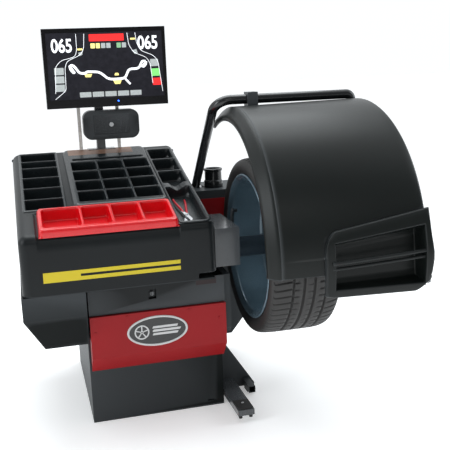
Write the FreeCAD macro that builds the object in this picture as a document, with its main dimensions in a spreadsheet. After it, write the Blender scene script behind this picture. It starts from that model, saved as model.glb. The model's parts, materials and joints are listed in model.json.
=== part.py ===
import FreeCAD, Part
import math
import os
import re

import Sketcher
from FreeCAD import Placement, Rotation, Vector

# Wheel balancer, modelled in millimetres. The origin is the middle of the cabinet's footprint on the
# floor. +X runs along the spindle towards the wheel, -Y faces the operator and +Z is up.

DRIVING = {
    # cabinet and floor parts
    "sheet_wall": 3, "cabinet_width": 500, "cabinet_depth": 634, "cabinet_top": 528,
    "base_thick": 6, "anchor_x": 430, "anchor_y": 564, "anchor_radius": 6,
    "flare_reach": 412, "flare_top": 245, "flare_front": -186, "flare_back": 272,
    "rail_size": 26, "rail_right": 389, "rail_front": -278,
    # upper body shell and the tilted tray plane
    "frame_thick": 6, "frame_front": -400, "frame_back": 330,
    "shell_wall": 6, "shell_left": -461, "shell_right": 222, "shell_front": -414, "shell_back": 352,
    "shell_bottom": 534, "tray_start_y": -397, "tray_start_z": 745, "tray_tilt": 15,
    "tray_rise": 0.26795, "tray_wall": 4, "tray_depth": 46,
    # front covers
    "plate_front": -362, "plate_bottom": 427, "red_front": -375, "red_left": -242, "red_right": 256,
    "red_top": 425, "red_fold": 270, "red_bottom": 203, "badge_wide": 224, "badge_high": 115,
    "badge_z": 350, "latch_x": -12, "latch_z": 485,
    "cover_left": -467, "cover_fold": 450, "cover_bottom": 328, "cover_foot_left": -401,
    "cover_foot_front": -365, "cover_foot_back": 290,
    # rear right housing and the hood's hinge
    "housing_right": 466, "housing_front": 60, "housing_back": 300, "housing_top": 772,
    "housing_wall": 4, "notch_left": 262, "notch_right": 320, "notch_front": 150, "notch_floor": 694,
    "pivot_y": 235, "pivot_z": 745, "pivot_radius": 12, "tube_radius": 18, "tube_x": 291,
    "tube_bar_y": -191, "tube_bar_z": 1152, "tube_end_x": 838, "tube_bend": 62,
    # hood
    "hood_y": -250, "hood_z": 617, "hood_left": 350, "hood_right": 858, "hood_radius_left": 495,
    "hood_radius_right": 525, "hood_wall": 5, "hood_back_angle": -24, "hood_sweep": 116,
    "flange_left": 312, "flange_radius": 462, "bezel_left": 496, "bezel_right": 872,
    "bezel_radius": 537, "bezel_start": 71, "bezel_sweep": 30, "window_left": 528,
    "window_right": 842, "window_start": 76.5, "window_sweep": 21, "pan_radius": 468,
    # spindle line
    "spindle_y": -300, "spindle_z": 612, "shaft_radius": 20, "journal_radius": 17.45,
    "bearing_radius": 36, "bearing_wide": 17, "housing_bore_left": -112, "housing_bore_right": 214,
    "neck_radius": 38, "neck_start": 226, "flange_face": 524, "nose_start": 640,
    "nose_radius": 18, "shaft_end": 700,
    "pulley_x": -180, "pulley_wide": 24, "pulley_radius": 60, "motor_y": -250, "motor_z": 390,
    "motor_pulley_radius": 20, "motor_radius": 58, "belt_thick": 3, "belt_gap": 0.4,
    # wheel
    "rim_left": 362, "rim_right": 616, "rim_flange": 272, "hub_radius": 75, "hub_bore": 33,
    "tyre_radius": 331, "tyre_left": 357, "tyre_right": 621,
    # gauge arm and brake
    "gauge_y": -228, "gauge_z": 672, "gauge_rod": 8, "block_left": 222.5, "block_right": 318,
    "block_front": -372, "block_back": -100, "block_bottom": 562, "block_top": 704,
    "pedal_left": 254, "pedal_right": 316, "pedal_front": -505, "pedal_pin_y": -222,
    "pedal_pin_z": 40, "pedal_top": 52,
    # monitor and its stand
    "monitor_left": -304, "monitor_right": 197, "monitor_front": 240, "monitor_back": 280,
    "monitor_low": 1127, "monitor_high": 1445, "tilt_y": 300, "tilt_z": 1286,
    "post_left": -107, "post_right": -71, "post_front": 310, "post_size": 36, "post_top": 1318,
    "pod_left": -164, "pod_right": 67, "pod_front": 232, "pod_back": 287, "pod_low": 993,
    "pod_high": 1113, "knob_x": -50, "knob_z": 1054,
}

doc = FreeCAD.newDocument("WheelBalancer")
sheet = doc.addObject("Spreadsheet::Sheet", "Dims")
for row, (alias, size) in enumerate(DRIVING.items(), start=1):
    sheet.set(f"A{row}", alias)
    sheet.set(f"B{row}", str(size))
    sheet.setAlias(f"B{row}", alias)
doc.recompute()

NAME = re.compile(r"[a-z][a-z_]*")
X_AXIS = Vector(1, 0, 0)
Y_AXIS = Vector(0, 1, 0)
ALONG_X = Rotation(Y_AXIS, 90)
ALONG_Y = Rotation(X_AXIS, -90)
UPRIGHT = Rotation()
TILTED = Rotation(X_AXIS, DRIVING["tray_tilt"])
nodes = {}


# ---------------------------------------------------------------- expressions and placing
def bound(text):
    """Turns 'cabinet_width / 2' into an expression that reads the sheet."""
    def cell(found):
        word = found.group()
        return f"Dims.{word}" if word in DRIVING else word
    return NAME.sub(cell, str(text))


def value(text):
    return float(sheet.evalExpression(bound(text)))


def place(item, x, y, z, rotation=UPRIGHT):
    item.Placement = Placement(Vector(value(x), value(y), value(z)), rotation)
    for axis, text in zip("xyz", (x, y, z)):
        item.setExpression(f"Placement.Base.{axis}", bound(text))


def keep(label, item):
    """Names an object as one of the machine's nodes."""
    item.Label = label
    nodes[label] = item
    return item


# ---------------------------------------------------------------- Part primitives
def box(name, x, y, z):
    """A box between two values on each axis: x, y and z are (low, high) pairs."""
    item = doc.addObject("Part::Box", name)
    for field, (low, high) in zip(("Length", "Width", "Height"), (x, y, z)):
        item.setExpression(field, bound(f"({high}) - ({low})"))
    place(item, x[0], y[0], z[0])
    return item


def cylinder(name, start, radius, length, rotation=ALONG_X):
    item = doc.addObject("Part::Cylinder", name)
    item.setExpression("Radius", bound(radius))
    item.setExpression("Height", bound(length))
    place(item, *start, rotation)
    return item


def cut(name, base, *tools):
    result = base
    for number, tool in enumerate(tools):
        step = doc.addObject("Part::Cut", f"{name}_{number}")
        step.Base = result
        step.Tool = tool
        result = step
    return result


def group(name, *items):
    """Several solids as one object, fused where they meet."""
    item = doc.addObject("Part::MultiFuse", name)
    item.Shapes = list(items)
    return item


# ---------------------------------------------------------------- PartDesign features
def new_body(name):
    return doc.addObject("PartDesign::Body", name)


def origin_item(body, role):
    return next(item for item in body.Origin.OriginFeatures if item.Role == role)


def new_sketch(body, role="XY_Plane", offset=None, turn=None):
    sketch = body.newObject("Sketcher::SketchObject", f"{body.Name}_sketch")
    sketch.AttachmentSupport = (origin_item(body, role), [""])
    sketch.MapMode = "FlatFace"
    if turn is not None:
        sketch.AttachmentOffset = Placement(Vector(), Rotation(X_AXIS, value(turn)))
    if offset is not None:
        sketch.setExpression("AttachmentOffset.Base.z", bound(offset))
    return sketch


def pin_point(sketch, kind, line, text):
    size = value(text)
    if abs(size) < 1e-9:
        axis = -2 if kind == "DistanceX" else -1
        sketch.addConstraint(Sketcher.Constraint("PointOnObject", line, 1, axis))
        return
    index = sketch.addConstraint(Sketcher.Constraint(kind, -1, 1, line, 1, size))
    sketch.setExpression(f"Constraints[{index}]", bound(text))


def outline(sketch, points):
    """A closed outline whose corners are pairs of expressions."""
    first = sketch.GeometryCount
    corners = [Vector(value(across), value(up), 0) for across, up in points]
    count = len(corners)
    for index, corner in enumerate(corners):
        sketch.addGeometry(Part.LineSegment(corner, corners[(index + 1) % count]), False)
    for index in range(count):
        following = first + (index + 1) % count
        sketch.addConstraint(Sketcher.Constraint("Coincident", first + index, 2, following, 1))
    for index, (across, up) in enumerate(points):
        pin_point(sketch, "DistanceX", first + index, across)
        pin_point(sketch, "DistanceY", first + index, up)


def rectangle(sketch, across, up):
    outline(sketch, [(across[0], up[0]), (across[1], up[0]), (across[1], up[1]), (across[0], up[1])])


def circle(sketch, across, up, radius):
    index = sketch.addGeometry(Part.Circle(Vector(value(across), value(up), 0), Vector(0, 0, 1),
                                           value(radius)), False)
    for kind, text in (("DistanceX", across), ("DistanceY", up)):
        number = sketch.addConstraint(Sketcher.Constraint(kind, -1, 1, index, 3, value(text)))
        sketch.setExpression(f"Constraints[{number}]", bound(text))
    number = sketch.addConstraint(Sketcher.Constraint("Radius", index, value(radius)))
    sketch.setExpression(f"Constraints[{number}]", bound(radius))


def feature(body, kind, sketch, **sizes):
    item = body.newObject(f"PartDesign::{kind}", f"{body.Name}_{kind}")
    item.Profile = sketch
    for field, text in sizes.items():
        item.setExpression(field, bound(text))
    return item


def pad(body, sketch, length, reverse=False):
    item = feature(body, "Pad", sketch, Length=length)
    item.Reversed = reverse
    return item


def pocket(body, sketch, length, reverse=False):
    item = feature(body, "Pocket", sketch, Length=length)
    item.Reversed = reverse
    return item


def revolve(body, sketch, sweep="360", kind="Revolution"):
    item = feature(body, kind, sketch, Angle=sweep)
    item.ReferenceAxis = (origin_item(body, "X_Axis"), [""])
    return item


def loft(body, kind, lower, upper):
    item = body.newObject(f"PartDesign::{kind}", f"{body.Name}_{kind}")
    item.Profile = lower
    item.Sections = [upper]
    item.Ruled = True
    return item


def round_edges(body, base, wanted, radius):
    """Rounds the edges of a feature that the test picks by their two end points."""
    doc.recompute()
    names = []
    for number, edge in enumerate(base.Shape.Edges, start=1):
        if len(edge.Vertexes) == 2 and wanted(edge.Vertexes[0].Point, edge.Vertexes[1].Point):
            names.append(f"Edge{number}")
    item = body.newObject("PartDesign::Fillet", f"{body.Name}_Fillet")
    item.Base = (base, names)
    item.setExpression("Radius", bound(radius))
    return item


def turned(name, points, sweep="360"):
    """A body turned about its own X axis from an (x, radius) outline."""
    body = new_body(name)
    sketch = new_sketch(body)
    outline(sketch, points)
    revolve(body, sketch, sweep)
    return body


def on_spindle(body):
    place(body, "0", "spindle_y", "spindle_z")
    return body


def on_tray_plane(body):
    place(body, "0", "tray_start_y", "tray_start_z", TILTED)
    return body


def on_hood_axis(body, angle):
    """The hood's own frame: its radius points up, turned forward by an angle from the top."""
    place(body, "0", "hood_y", "hood_z", Rotation(X_AXIS, 90 + value(angle)))
    return body


def parallel_to(axis):
    """A test for edges that run along one axis."""
    def wanted(start, end):
        along = end.sub(start)
        sizes = [abs(along.x), abs(along.y), abs(along.z)]
        return sizes[axis] > 1 and sum(sizes) - sizes[axis] < 0.01
    return wanted


# ---------------------------------------------------------------- cabinet, base and floor parts
def make_base_plate():
    body = new_body("base_plate")
    sketch = new_sketch(body)
    rectangle(sketch, ("-cabinet_width / 2", "cabinet_width / 2"),
              ("-cabinet_depth / 2", "cabinet_depth / 2"))
    for across in ("-anchor_x / 2", "anchor_x / 2"):
        for up in ("-anchor_y / 2", "anchor_y / 2"):
            circle(sketch, across, up, "anchor_radius")
    pad(body, sketch, "base_thick")
    keep("base_plate", body)


def make_cabinet():
    """An upright sheet-metal box, open at its top and bottom, with the pedal's pin and a board rail."""
    body = new_body("base_cabinet")
    sketch = new_sketch(body, offset="base_thick")
    rectangle(sketch, ("-cabinet_width / 2", "cabinet_width / 2"),
              ("-cabinet_depth / 2", "cabinet_depth / 2"))
    rectangle(sketch, ("-cabinet_width / 2 + sheet_wall", "cabinet_width / 2 - sheet_wall"),
              ("-cabinet_depth / 2 + sheet_wall", "cabinet_depth / 2 - sheet_wall"))
    pad(body, sketch, "cabinet_top - base_thick")
    slit = new_sketch(body, "XZ_Plane", offset="cabinet_depth / 2 + 1")
    rectangle(slit, ("186", "212"), ("20", "25"))
    pocket(body, slit, "sheet_wall + 2")
    belt_slot = new_sketch(body, "XZ_Plane", offset="cabinet_depth / 2 + 1")
    rectangle(belt_slot, ("pulley_x - 14", "pulley_x + pulley_wide + 14"), ("462", "cabinet_top + 1"))
    pocket(body, belt_slot, "sheet_wall + 2")
    pin = cylinder("pedal_pin", ("cabinet_width / 2 - sheet_wall / 2", "pedal_pin_y", "pedal_pin_z"), "6",
                   "pedal_right + 6 - cabinet_width / 2")
    board_rail = box("board_rail", ("-cabinet_width / 2 + 1", "cabinet_width / 2 - 1"), ("292", "300"),
                     ("210", "420"))
    keep("base_cabinet", group("base_cabinet_whole", body, pin, board_rail))


def make_side_flare():
    """The wedge that widens the base to the right, a folded sheet open underneath."""
    body = new_body("side_flare")
    sketch = new_sketch(body, "XZ_Plane", offset="-flare_front")
    outline(sketch, [("cabinet_width / 2", "0"), ("flare_reach", "0"), ("flare_reach", "10"),
                     ("cabinet_width / 2 + 8", "flare_top"), ("cabinet_width / 2", "flare_top")])
    pad(body, sketch, "flare_back - flare_front", reverse=True)
    hollow = new_sketch(body, "XZ_Plane", offset="-flare_front - sheet_wall")
    outline(hollow, [("cabinet_width / 2 + sheet_wall", "-1"), ("flare_reach - sheet_wall", "-1"),
                     ("flare_reach - sheet_wall", "8"),
                     ("cabinet_width / 2 + sheet_wall + 2", "flare_top - 8")])
    pocket(body, hollow, "flare_back - flare_front - 2 * sheet_wall")
    keep("side_flare", group("side_flare_whole", body, make_floor_rail()))


def make_floor_rail():
    """The short square tube, welded to the flare's front, that braces the base beside the pedal."""
    outer = box("rail_outer", ("rail_right - rail_size", "rail_right"),
                ("rail_front", "flare_front"), ("8", "8 + rail_size"))
    inner = box("rail_inner", ("rail_right - rail_size + 3", "rail_right - 3"),
                ("rail_front - 1", "flare_front - 3"), ("11", "5 + rail_size"))
    foot = box("rail_foot", ("rail_right - rail_size", "rail_right"),
               ("rail_front + 30", "rail_front + 70"), ("0", "8"))
    return group("rail_whole", cut("rail_tube", outer, inner), foot)


def make_brake_pedal():
    """A folded steel channel on a cross pin, with a ribbed rubber pad and two bump stops."""
    body = new_body("brake_pedal")
    sketch = new_sketch(body, "YZ_Plane", offset="pedal_left")
    outline(sketch, [("pedal_front", "pedal_top"), ("pedal_front", "pedal_top - 22"),
                     ("pedal_pin_y - 40", "pedal_pin_z - 14"), ("pedal_pin_y + 14", "pedal_pin_z - 14"),
                     ("pedal_pin_y + 14", "pedal_top")])
    pad(body, sketch, "pedal_right - pedal_left")
    hollow = new_sketch(body, "YZ_Plane", offset="pedal_left + 4")
    rectangle(hollow, ("pedal_front + 4", "pedal_pin_y + 20"), ("0", "pedal_top - 4"))
    pocket(body, hollow, "pedal_right - pedal_left - 8", reverse=True)
    hole = new_sketch(body, "YZ_Plane", offset="pedal_left - 1")
    circle(hole, "pedal_pin_y", "pedal_pin_z", "6.05")
    pocket(body, hole, "pedal_right - pedal_left + 2", reverse=True)
    keep("brake_pedal", body)
    tread = box("pedal_tread", ("pedal_left + 3", "pedal_right - 3"),
                ("pedal_front + 3", "pedal_front + 78"), ("pedal_top", "pedal_top + 6"))
    stops = [cylinder(f"pedal_stop_{side}", (f"pedal_{side} {inset}", "pedal_front + 12",
                                             "pedal_top - 34"), "7", "30", UPRIGHT)
             for side, inset in (("left", "+ 11.5"), ("right", "- 11.5"))]
    keep("pedal_rubbers", group("pedal_rubbers", tread, *stops))


# ---------------------------------------------------------------- front covers
def make_front_panel():
    """The red sheet: an upright face, folded back at its foot, with a cheek at each end."""
    body = new_body("front_panel")
    sketch = new_sketch(body, "YZ_Plane", offset="red_left")
    outline(sketch, [("red_front", "red_top"), ("red_front", "red_fold"),
                     ("-cabinet_depth / 2 - 0.5", "red_bottom"),
                     ("-cabinet_depth / 2 - 0.5", "red_top")])
    pad(body, sketch, "red_right - red_left")
    hollow = new_sketch(body, "YZ_Plane", offset="red_left + sheet_wall")
    outline(hollow, [("red_front + sheet_wall", "red_top - sheet_wall"),
                     ("red_front + sheet_wall", "red_fold + 1"),
                     ("-cabinet_depth / 2 - 3", "red_bottom + 8"),
                     ("-cabinet_depth / 2 + 5", "red_bottom + 8"),
                     ("-cabinet_depth / 2 + 5", "red_top - sheet_wall")])
    pocket(body, hollow, "red_right - red_left - 2 * sheet_wall", reverse=True)
    keep("front_panel", body)


def make_badge():
    """A blank oval badge on the red panel."""
    badge = doc.addObject("Part::Ellipsoid", "badge_form")
    badge.setExpression("Radius1", bound("2"))
    badge.setExpression("Radius2", bound("badge_wide / 2"))
    badge.setExpression("Radius3", bound("badge_high / 2"))
    place(badge, "-2", "red_front - 0.1", "badge_z", Rotation(X_AXIS, 90))
    front = box("badge_front", ("-200", "200"), ("red_front - 5", "red_front"), ("200", "500"))
    both = doc.addObject("Part::Common", "badge_plate")
    both.Base = badge
    both.Tool = front
    keep("badge_plate", both)


def make_screws(label, places, facing, radius="5", height="2.4"):
    """Button heads as one group of separate solids; each place is the head's middle on its face."""
    heads = []
    for number, (x, y, z) in enumerate(places):
        heads.append(cylinder(f"{label}_{number}", (x, f"{y} - ({height})" if facing < 0 else y, z),
                              radius, height, ALONG_Y))
    keep(label, group(label, *heads))


def make_upper_front_plate():
    """The dark plate between the red panel and the body, with the latch's square window."""
    body = new_body("upper_front_plate")
    sketch = new_sketch(body, offset="plate_bottom")
    outline(sketch, [("red_left", "-cabinet_depth / 2 - 0.5"), ("red_left", "plate_front"),
                     ("red_right", "plate_front"), ("red_right", "-cabinet_depth / 2 - 0.5"),
                     ("red_right - sheet_wall", "-cabinet_depth / 2 - 0.5"),
                     ("red_right - sheet_wall", "plate_front + sheet_wall"),
                     ("red_left + sheet_wall", "plate_front + sheet_wall"),
                     ("red_left + sheet_wall", "-cabinet_depth / 2 - 0.5")])
    pad(body, sketch, "cabinet_top - plate_bottom")
    window = new_sketch(body, "XZ_Plane", offset="-plate_front + 1")
    rectangle(window, ("latch_x - 18", "latch_x + 18"), ("latch_z - 22", "latch_z + 22"))
    pocket(body, window, "sheet_wall + 2")
    keep("upper_front_plate", group("upper_front_whole", body, make_latch_bezel()))


def make_latch_bezel():
    """The latch's recessed square bezel."""
    bezel = box("latch_block", ("latch_x - 18", "latch_x + 18"), ("plate_front", "plate_front + 22"),
                ("latch_z - 22", "latch_z + 22"))
    recess = box("latch_recess", ("latch_x - 14", "latch_x + 14"), ("plate_front - 1", "plate_front + 14"),
                 ("latch_z - 18", "latch_z + 18"))
    bore = cylinder("latch_bore", ("latch_x", "plate_front + 10", "latch_z"), "8.05", "20", ALONG_Y)
    return cut("latch_bezel", bezel, recess, bore)


def make_latch_key():
    """The key barrel that turns in the bezel."""
    barrel = cylinder("latch_barrel", ("latch_x", "plate_front + 6", "latch_z"), "8", "24", ALONG_Y)
    bow = box("latch_bow", ("latch_x - 2", "latch_x + 2"), ("plate_front + 2", "plate_front + 8"),
              ("latch_z - 8", "latch_z + 8"))
    keep("latch_key", group("latch_key", barrel, bow))


def make_lower_left_cover():
    """A tapered plastic tub under the body's left overhang, open at the top."""
    body = new_body("lower_left_cover")
    right = "-cabinet_width / 2 - 0.5"
    rim = new_sketch(body, offset="cover_fold")
    rectangle(rim, ("cover_left", right), ("shell_front", "shell_back - 20"))
    pad(body, rim, "shell_bottom - 0.5 - cover_fold")
    top = new_sketch(body, offset="cover_fold")
    rectangle(top, ("cover_left", right), ("shell_front", "shell_back - 20"))
    foot = new_sketch(body, offset="cover_bottom")
    rectangle(foot, ("cover_foot_left", right), ("cover_foot_front", "cover_foot_back"))
    loft(body, "AdditiveLoft", foot, top)
    wall = "shell_wall"
    top_in = new_sketch(body, offset="cover_fold")
    rectangle(top_in, (f"cover_left + {wall}", f"{right} - {wall}"),
              (f"shell_front + {wall}", f"shell_back - 20 - {wall}"))
    foot_in = new_sketch(body, offset="cover_bottom + shell_wall")
    rectangle(foot_in, (f"cover_foot_left + {wall}", f"{right} - {wall}"),
              (f"cover_foot_front + {wall}", f"cover_foot_back - {wall}"))
    loft(body, "SubtractiveLoft", foot_in, top_in)
    mouth = new_sketch(body, offset="shell_bottom")
    rectangle(mouth, (f"cover_left + {wall}", f"{right} - {wall}"),
              (f"shell_front + {wall}", f"shell_back - 20 - {wall}"))
    pocket(body, mouth, "shell_bottom - cover_fold")
    keep("lower_left_cover", body)


def make_lower_right_cover():
    """A narrow moulded cover beside the red panel, rounded at its lower front corner."""
    body = new_body("lower_right_cover")
    sketch = new_sketch(body, "YZ_Plane", offset="red_right + 0.5")
    outline(sketch, [("-355", "322"), ("-335", "300"), ("40", "300"), ("40", "cabinet_top - 1"),
                     ("-355", "cabinet_top - 1")])
    pad(body, sketch, "24")
    hollow = new_sketch(body, "YZ_Plane", offset="red_right")
    outline(hollow, [("-351", "324"), ("-333", "304"), ("36", "304"), ("36", "cabinet_top - 5"),
                     ("-351", "cabinet_top - 5")])
    pocket(body, hollow, "20", reverse=True)
    keep("lower_right_cover", body)


# ---------------------------------------------------------------- body shell and trays
# Each tray's opening in the tilted plane, as (left, right) across and (front, back) up the slope.
LEFT_WELL = (("-430", "-284"), ("192", "748"))
CENTRE_WELL = (("-240", "85"), ("200", "640"))
RED_WELL = (("-378", "80"), ("2", "160"))
RIGHT_WELL = (("97", "203"), ("-2", "718"))


def make_body_shell():
    """The big one-piece plastic body: sloping top, open underneath, with the tray openings."""
    body = new_body("body_shell")
    sketch = new_sketch(body, "YZ_Plane", offset="shell_left")
    rise = "tray_start_z + (shell_{} - tray_start_y) * tray_rise"
    outline(sketch, [("shell_front", "shell_bottom"), ("shell_back", "shell_bottom"),
                     ("shell_back", rise.format("back")), ("shell_front", rise.format("front"))])
    block = pad(body, sketch, "shell_right - shell_left")

    def corner(start, end):
        upright = parallel_to(2)(start, end)
        top_side = abs(start.x - end.x) < 0.01 and min(start.z, end.z) > 700
        top_end = parallel_to(0)(start, end) and min(start.z, end.z) > 700
        return upright or top_side or top_end
    round_edges(body, block, corner, "14")
    hollow = new_sketch(body, "YZ_Plane", offset="shell_left + shell_wall")
    outline(hollow, [("shell_front + shell_wall", "shell_bottom - 1"),
                     ("shell_back - shell_wall", "shell_bottom - 1"),
                     ("shell_back - shell_wall", rise.format("back") + " - 14"),
                     ("shell_front + shell_wall", rise.format("front") + " - 14")])
    pocket(body, hollow, "shell_right - shell_left - 2 * shell_wall", reverse=True)
    wells = body.newObject("Sketcher::SketchObject", "body_shell_wells")
    wells.AttachmentSupport = (origin_item(body, "XY_Plane"), [""])
    wells.MapMode = "FlatFace"
    wells.AttachmentOffset = Placement(Vector(0, value("tray_start_y"), value("tray_start_z")), TILTED)
    wells.setExpression("AttachmentOffset.Base.y", bound("tray_start_y"))
    wells.setExpression("AttachmentOffset.Base.z", bound("tray_start_z"))
    for across, up in (LEFT_WELL, CENTRE_WELL, RED_WELL, RIGHT_WELL):
        rectangle(wells, across, up)
    pocket(body, wells, "60")
    notch = new_sketch(body, "XZ_Plane", offset="-shell_front + 5")
    rectangle(notch, ("148", "shell_right + 5"), ("shell_bottom - 5", "558"))
    pocket(body, notch, "60")
    nose = new_sketch(body, "YZ_Plane", offset="shell_right + 1")
    circle(nose, "spindle_y", "spindle_z", "neck_radius + 8")
    circle(nose, "gauge_y", "gauge_z", "gauge_rod + 4")
    pocket(body, nose, "shell_wall + 2")
    keep("body_shell", body)


def make_tray(label, well, lip, height, columns, rows, walls=("tray_wall", "tray_wall")):
    """A moulded tray: a lip that lies on the shell, a tub through its opening, open pockets.

    columns and rows are the pockets' (low, high) expressions across and up the slope.
    """
    body = new_body(label)
    rim = new_sketch(body)
    rectangle(rim, *lip)
    pad(body, rim, height)
    tub = new_sketch(body)
    (left, right), (front, back) = well
    rectangle(tub, (f"{left} + 0.5", f"{right} - 0.5"), (f"{front} + 0.5", f"{back} - 0.5"))
    pad(body, tub, "tray_depth", reverse=True)
    cells = new_sketch(body, offset=height)
    for column in columns:
        for row in rows:
            rectangle(cells, column, row)
    pocket(body, cells, f"{height} + tray_depth - {walls[0]}")
    keep(label, on_tray_plane(body))
    return body


def spaced(low, high, count, wall):
    """Equal pockets between two values, with a wall between neighbours."""
    width = (high - low - wall * (count - 1)) / count
    starts = [low + index * (width + wall) for index in range(count)]
    return [(f"{start:.3f}", f"{start + width:.3f}") for start in starts]


def make_trays():
    make_tray("left_weight_tray", LEFT_WELL, (("-436", "-278"), ("186", "754")), "3",
              [("-425", "-289")],
              [("197", "282"), ("287", "384"), ("389", "486"), ("491", "586"), ("591", "656"), ("661", "743")])
    centre = make_tray("centre_weight_tray", CENTRE_WELL, (("-257", "90.5"), ("178", "742")), "14",
                       spaced(-231, 77, 3, 8), spaced(213, 597, 4, 7))
    slot = new_sketch(centre, offset="14")
    rectangle(slot, ("-225", "70"), ("611", "635"))
    pocket(centre, slot, "22")
    make_tray("right_tool_tray", RIGHT_WELL, (("91.5", "209"), ("-7", "724")), "3",
              [("102", "198")], [("3", "306"), ("346", "462"), ("470", "592"), ("600", "708")])


def make_red_tray():
    """The lift-out tray: four open compartments in a deep rounded rim."""
    body = new_body("red_weight_tray")
    rim = new_sketch(body, offset="0.4")
    rectangle(rim, ("-390", "90.5"), ("-14", "170"))
    block = pad(body, rim, "21.6")
    round_edges(body, block, parallel_to(2), "14")
    tub = new_sketch(body, offset="0.4")
    rectangle(tub, ("-374", "76"), ("6", "156"))
    pad(body, tub, "28", reverse=True)
    cells = new_sketch(body, offset="22")
    for low, high in (("-371", "-243"), ("-236", "-137"), ("-130", "-31"), ("-24", "73")):
        rectangle(cells, (low, high), ("9", "153"))
    pocket(body, cells, "46")
    keep("red_weight_tray", on_tray_plane(body))


def make_trim():
    keep("trim_stripe", box("trim_stripe", ("-388", "87"), ("shell_front - 0.8", "shell_front"),
                            ("580", "616")))


# ---------------------------------------------------------------- pliers in the tool well
def make_pliers():
    """Weight pliers lying on the tool well's floor: two crossed halves, with the rivet on the lower."""
    floor = "-tray_depth + tray_wall"
    rivet_x, rivet_s = "146", "118"
    sides = (("pliers_lower", 1, "0.4"), ("pliers_upper", -1, "6.6"))
    for label, side, lift in sides:
        body = new_body(label)
        arm = new_sketch(body, offset=f"{floor} + {lift}")

        def across(amount):
            return f"{rivet_x} + {side * amount}"
        outline(arm, [(across(-9), f"{rivet_s} - 8"), (across(-16), f"{rivet_s} - 34"),
                      (across(-5), f"{rivet_s} - 62"), (across(-1.5), f"{rivet_s} - 60"),
                      (across(-4), f"{rivet_s} - 34"), (across(6), f"{rivet_s} - 6"),
                      (across(19), f"{rivet_s} + 60"), (across(29), f"{rivet_s} + 142"),
                      (across(17), f"{rivet_s} + 144"), (across(8), f"{rivet_s} + 62"),
                      (across(-7), f"{rivet_s} + 8")])
        pad(body, arm, "6")
        if side > 0:
            rivet = new_sketch(body, offset=f"{floor} + {lift}")
            circle(rivet, rivet_x, rivet_s, "3")
            pad(body, rivet, "15")
        else:
            hole = new_sketch(body, offset=f"{floor} + {lift} + 8")
            circle(hole, rivet_x, rivet_s, "3.05")
            pocket(body, hole, "12")
        keep(label, on_tray_plane(body))


# ---------------------------------------------------------------- rear housing and hood hinge
def make_rear_housing():
    """The sheet housing behind the wheel that holds the hood's hinge, with a chamfered foot."""
    body = new_body("rear_housing")
    sketch = new_sketch(body, "XZ_Plane", offset="-housing_front")
    left = "cabinet_width / 2 + 0.5"
    outline(sketch, [(left, "262"), ("256", "262"), ("336", "140"), ("390", "140"),
                     ("housing_right", "233"),
                     ("housing_right", "housing_top"), ("shell_right + 1", "housing_top"),
                     ("shell_right + 1", "shell_bottom + 2"), (left, "shell_bottom + 2")])
    pad(body, sketch, "housing_back - housing_front", reverse=True)
    hollow = new_sketch(body, "XZ_Plane", offset="-housing_front - housing_wall")
    wall = "housing_wall"
    outline(hollow, [(f"{left} + {wall}", "268"), ("258", "268"), ("338", "145"), ("388", "145"),
                     (f"housing_right - {wall}", "236"),
                     (f"housing_right - {wall}", f"housing_top - {wall}"),
                     ("shell_right + 5", f"housing_top - {wall}"), ("shell_right + 5", "shell_bottom + 6"),
                     (f"{left} + {wall}", "shell_bottom + 6")])
    pocket(body, hollow, "housing_back - housing_front")
    notch = new_sketch(body, offset="housing_top + 1")
    rectangle(notch, ("notch_left", "notch_right"), ("notch_front", "housing_back + 5"))
    pocket(body, notch, "housing_top - notch_floor")
    back = ("housing_back - 3", "housing_back")
    cover = box("cover_sheet", (f"{left} + 1", "housing_right - 1"), back, ("268", "notch_floor - 4"))
    outer = box("cover_outer", ("notch_right + 2", "housing_right - 1"), back, ("268", "housing_top - 2"))
    inner = box("cover_inner", ("shell_right + 2", "notch_left - 2"), back, ("540", "housing_top - 2"))
    keep("rear_housing", group("rear_housing_whole", body, cover, outer, inner))
    keep("housing_red_panel", box("housing_red_panel", ("cabinet_width / 2 + 2", "housing_right - 4"),
                                  ("housing_front - 3", "housing_front"), ("628", "738")))


def make_hood_hinge():
    """The fixed cross shaft and the two lugs that carry it."""
    shaft = cylinder("pivot_shaft", ("notch_left - 20", "pivot_y", "pivot_z"), "pivot_radius",
                     "notch_right - notch_left + 40")
    lugs = []
    for name, low, high in (("left", "notch_left - 16", "notch_left - 1"),
                            ("right", "notch_right + 1", "notch_right + 16")):
        lugs.append(box(f"lug_{name}", (low, high), ("pivot_y - 22", "pivot_y + 22"),
                        ("640", "housing_top - housing_wall")))
    rail = box("lug_rail", ("notch_left - 16", "notch_right + 16"), ("pivot_y - 22", "pivot_y + 22"),
               ("634", "640"))
    keep("hood_hinge", group("hood_hinge", rail, shaft, *lugs))


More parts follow.
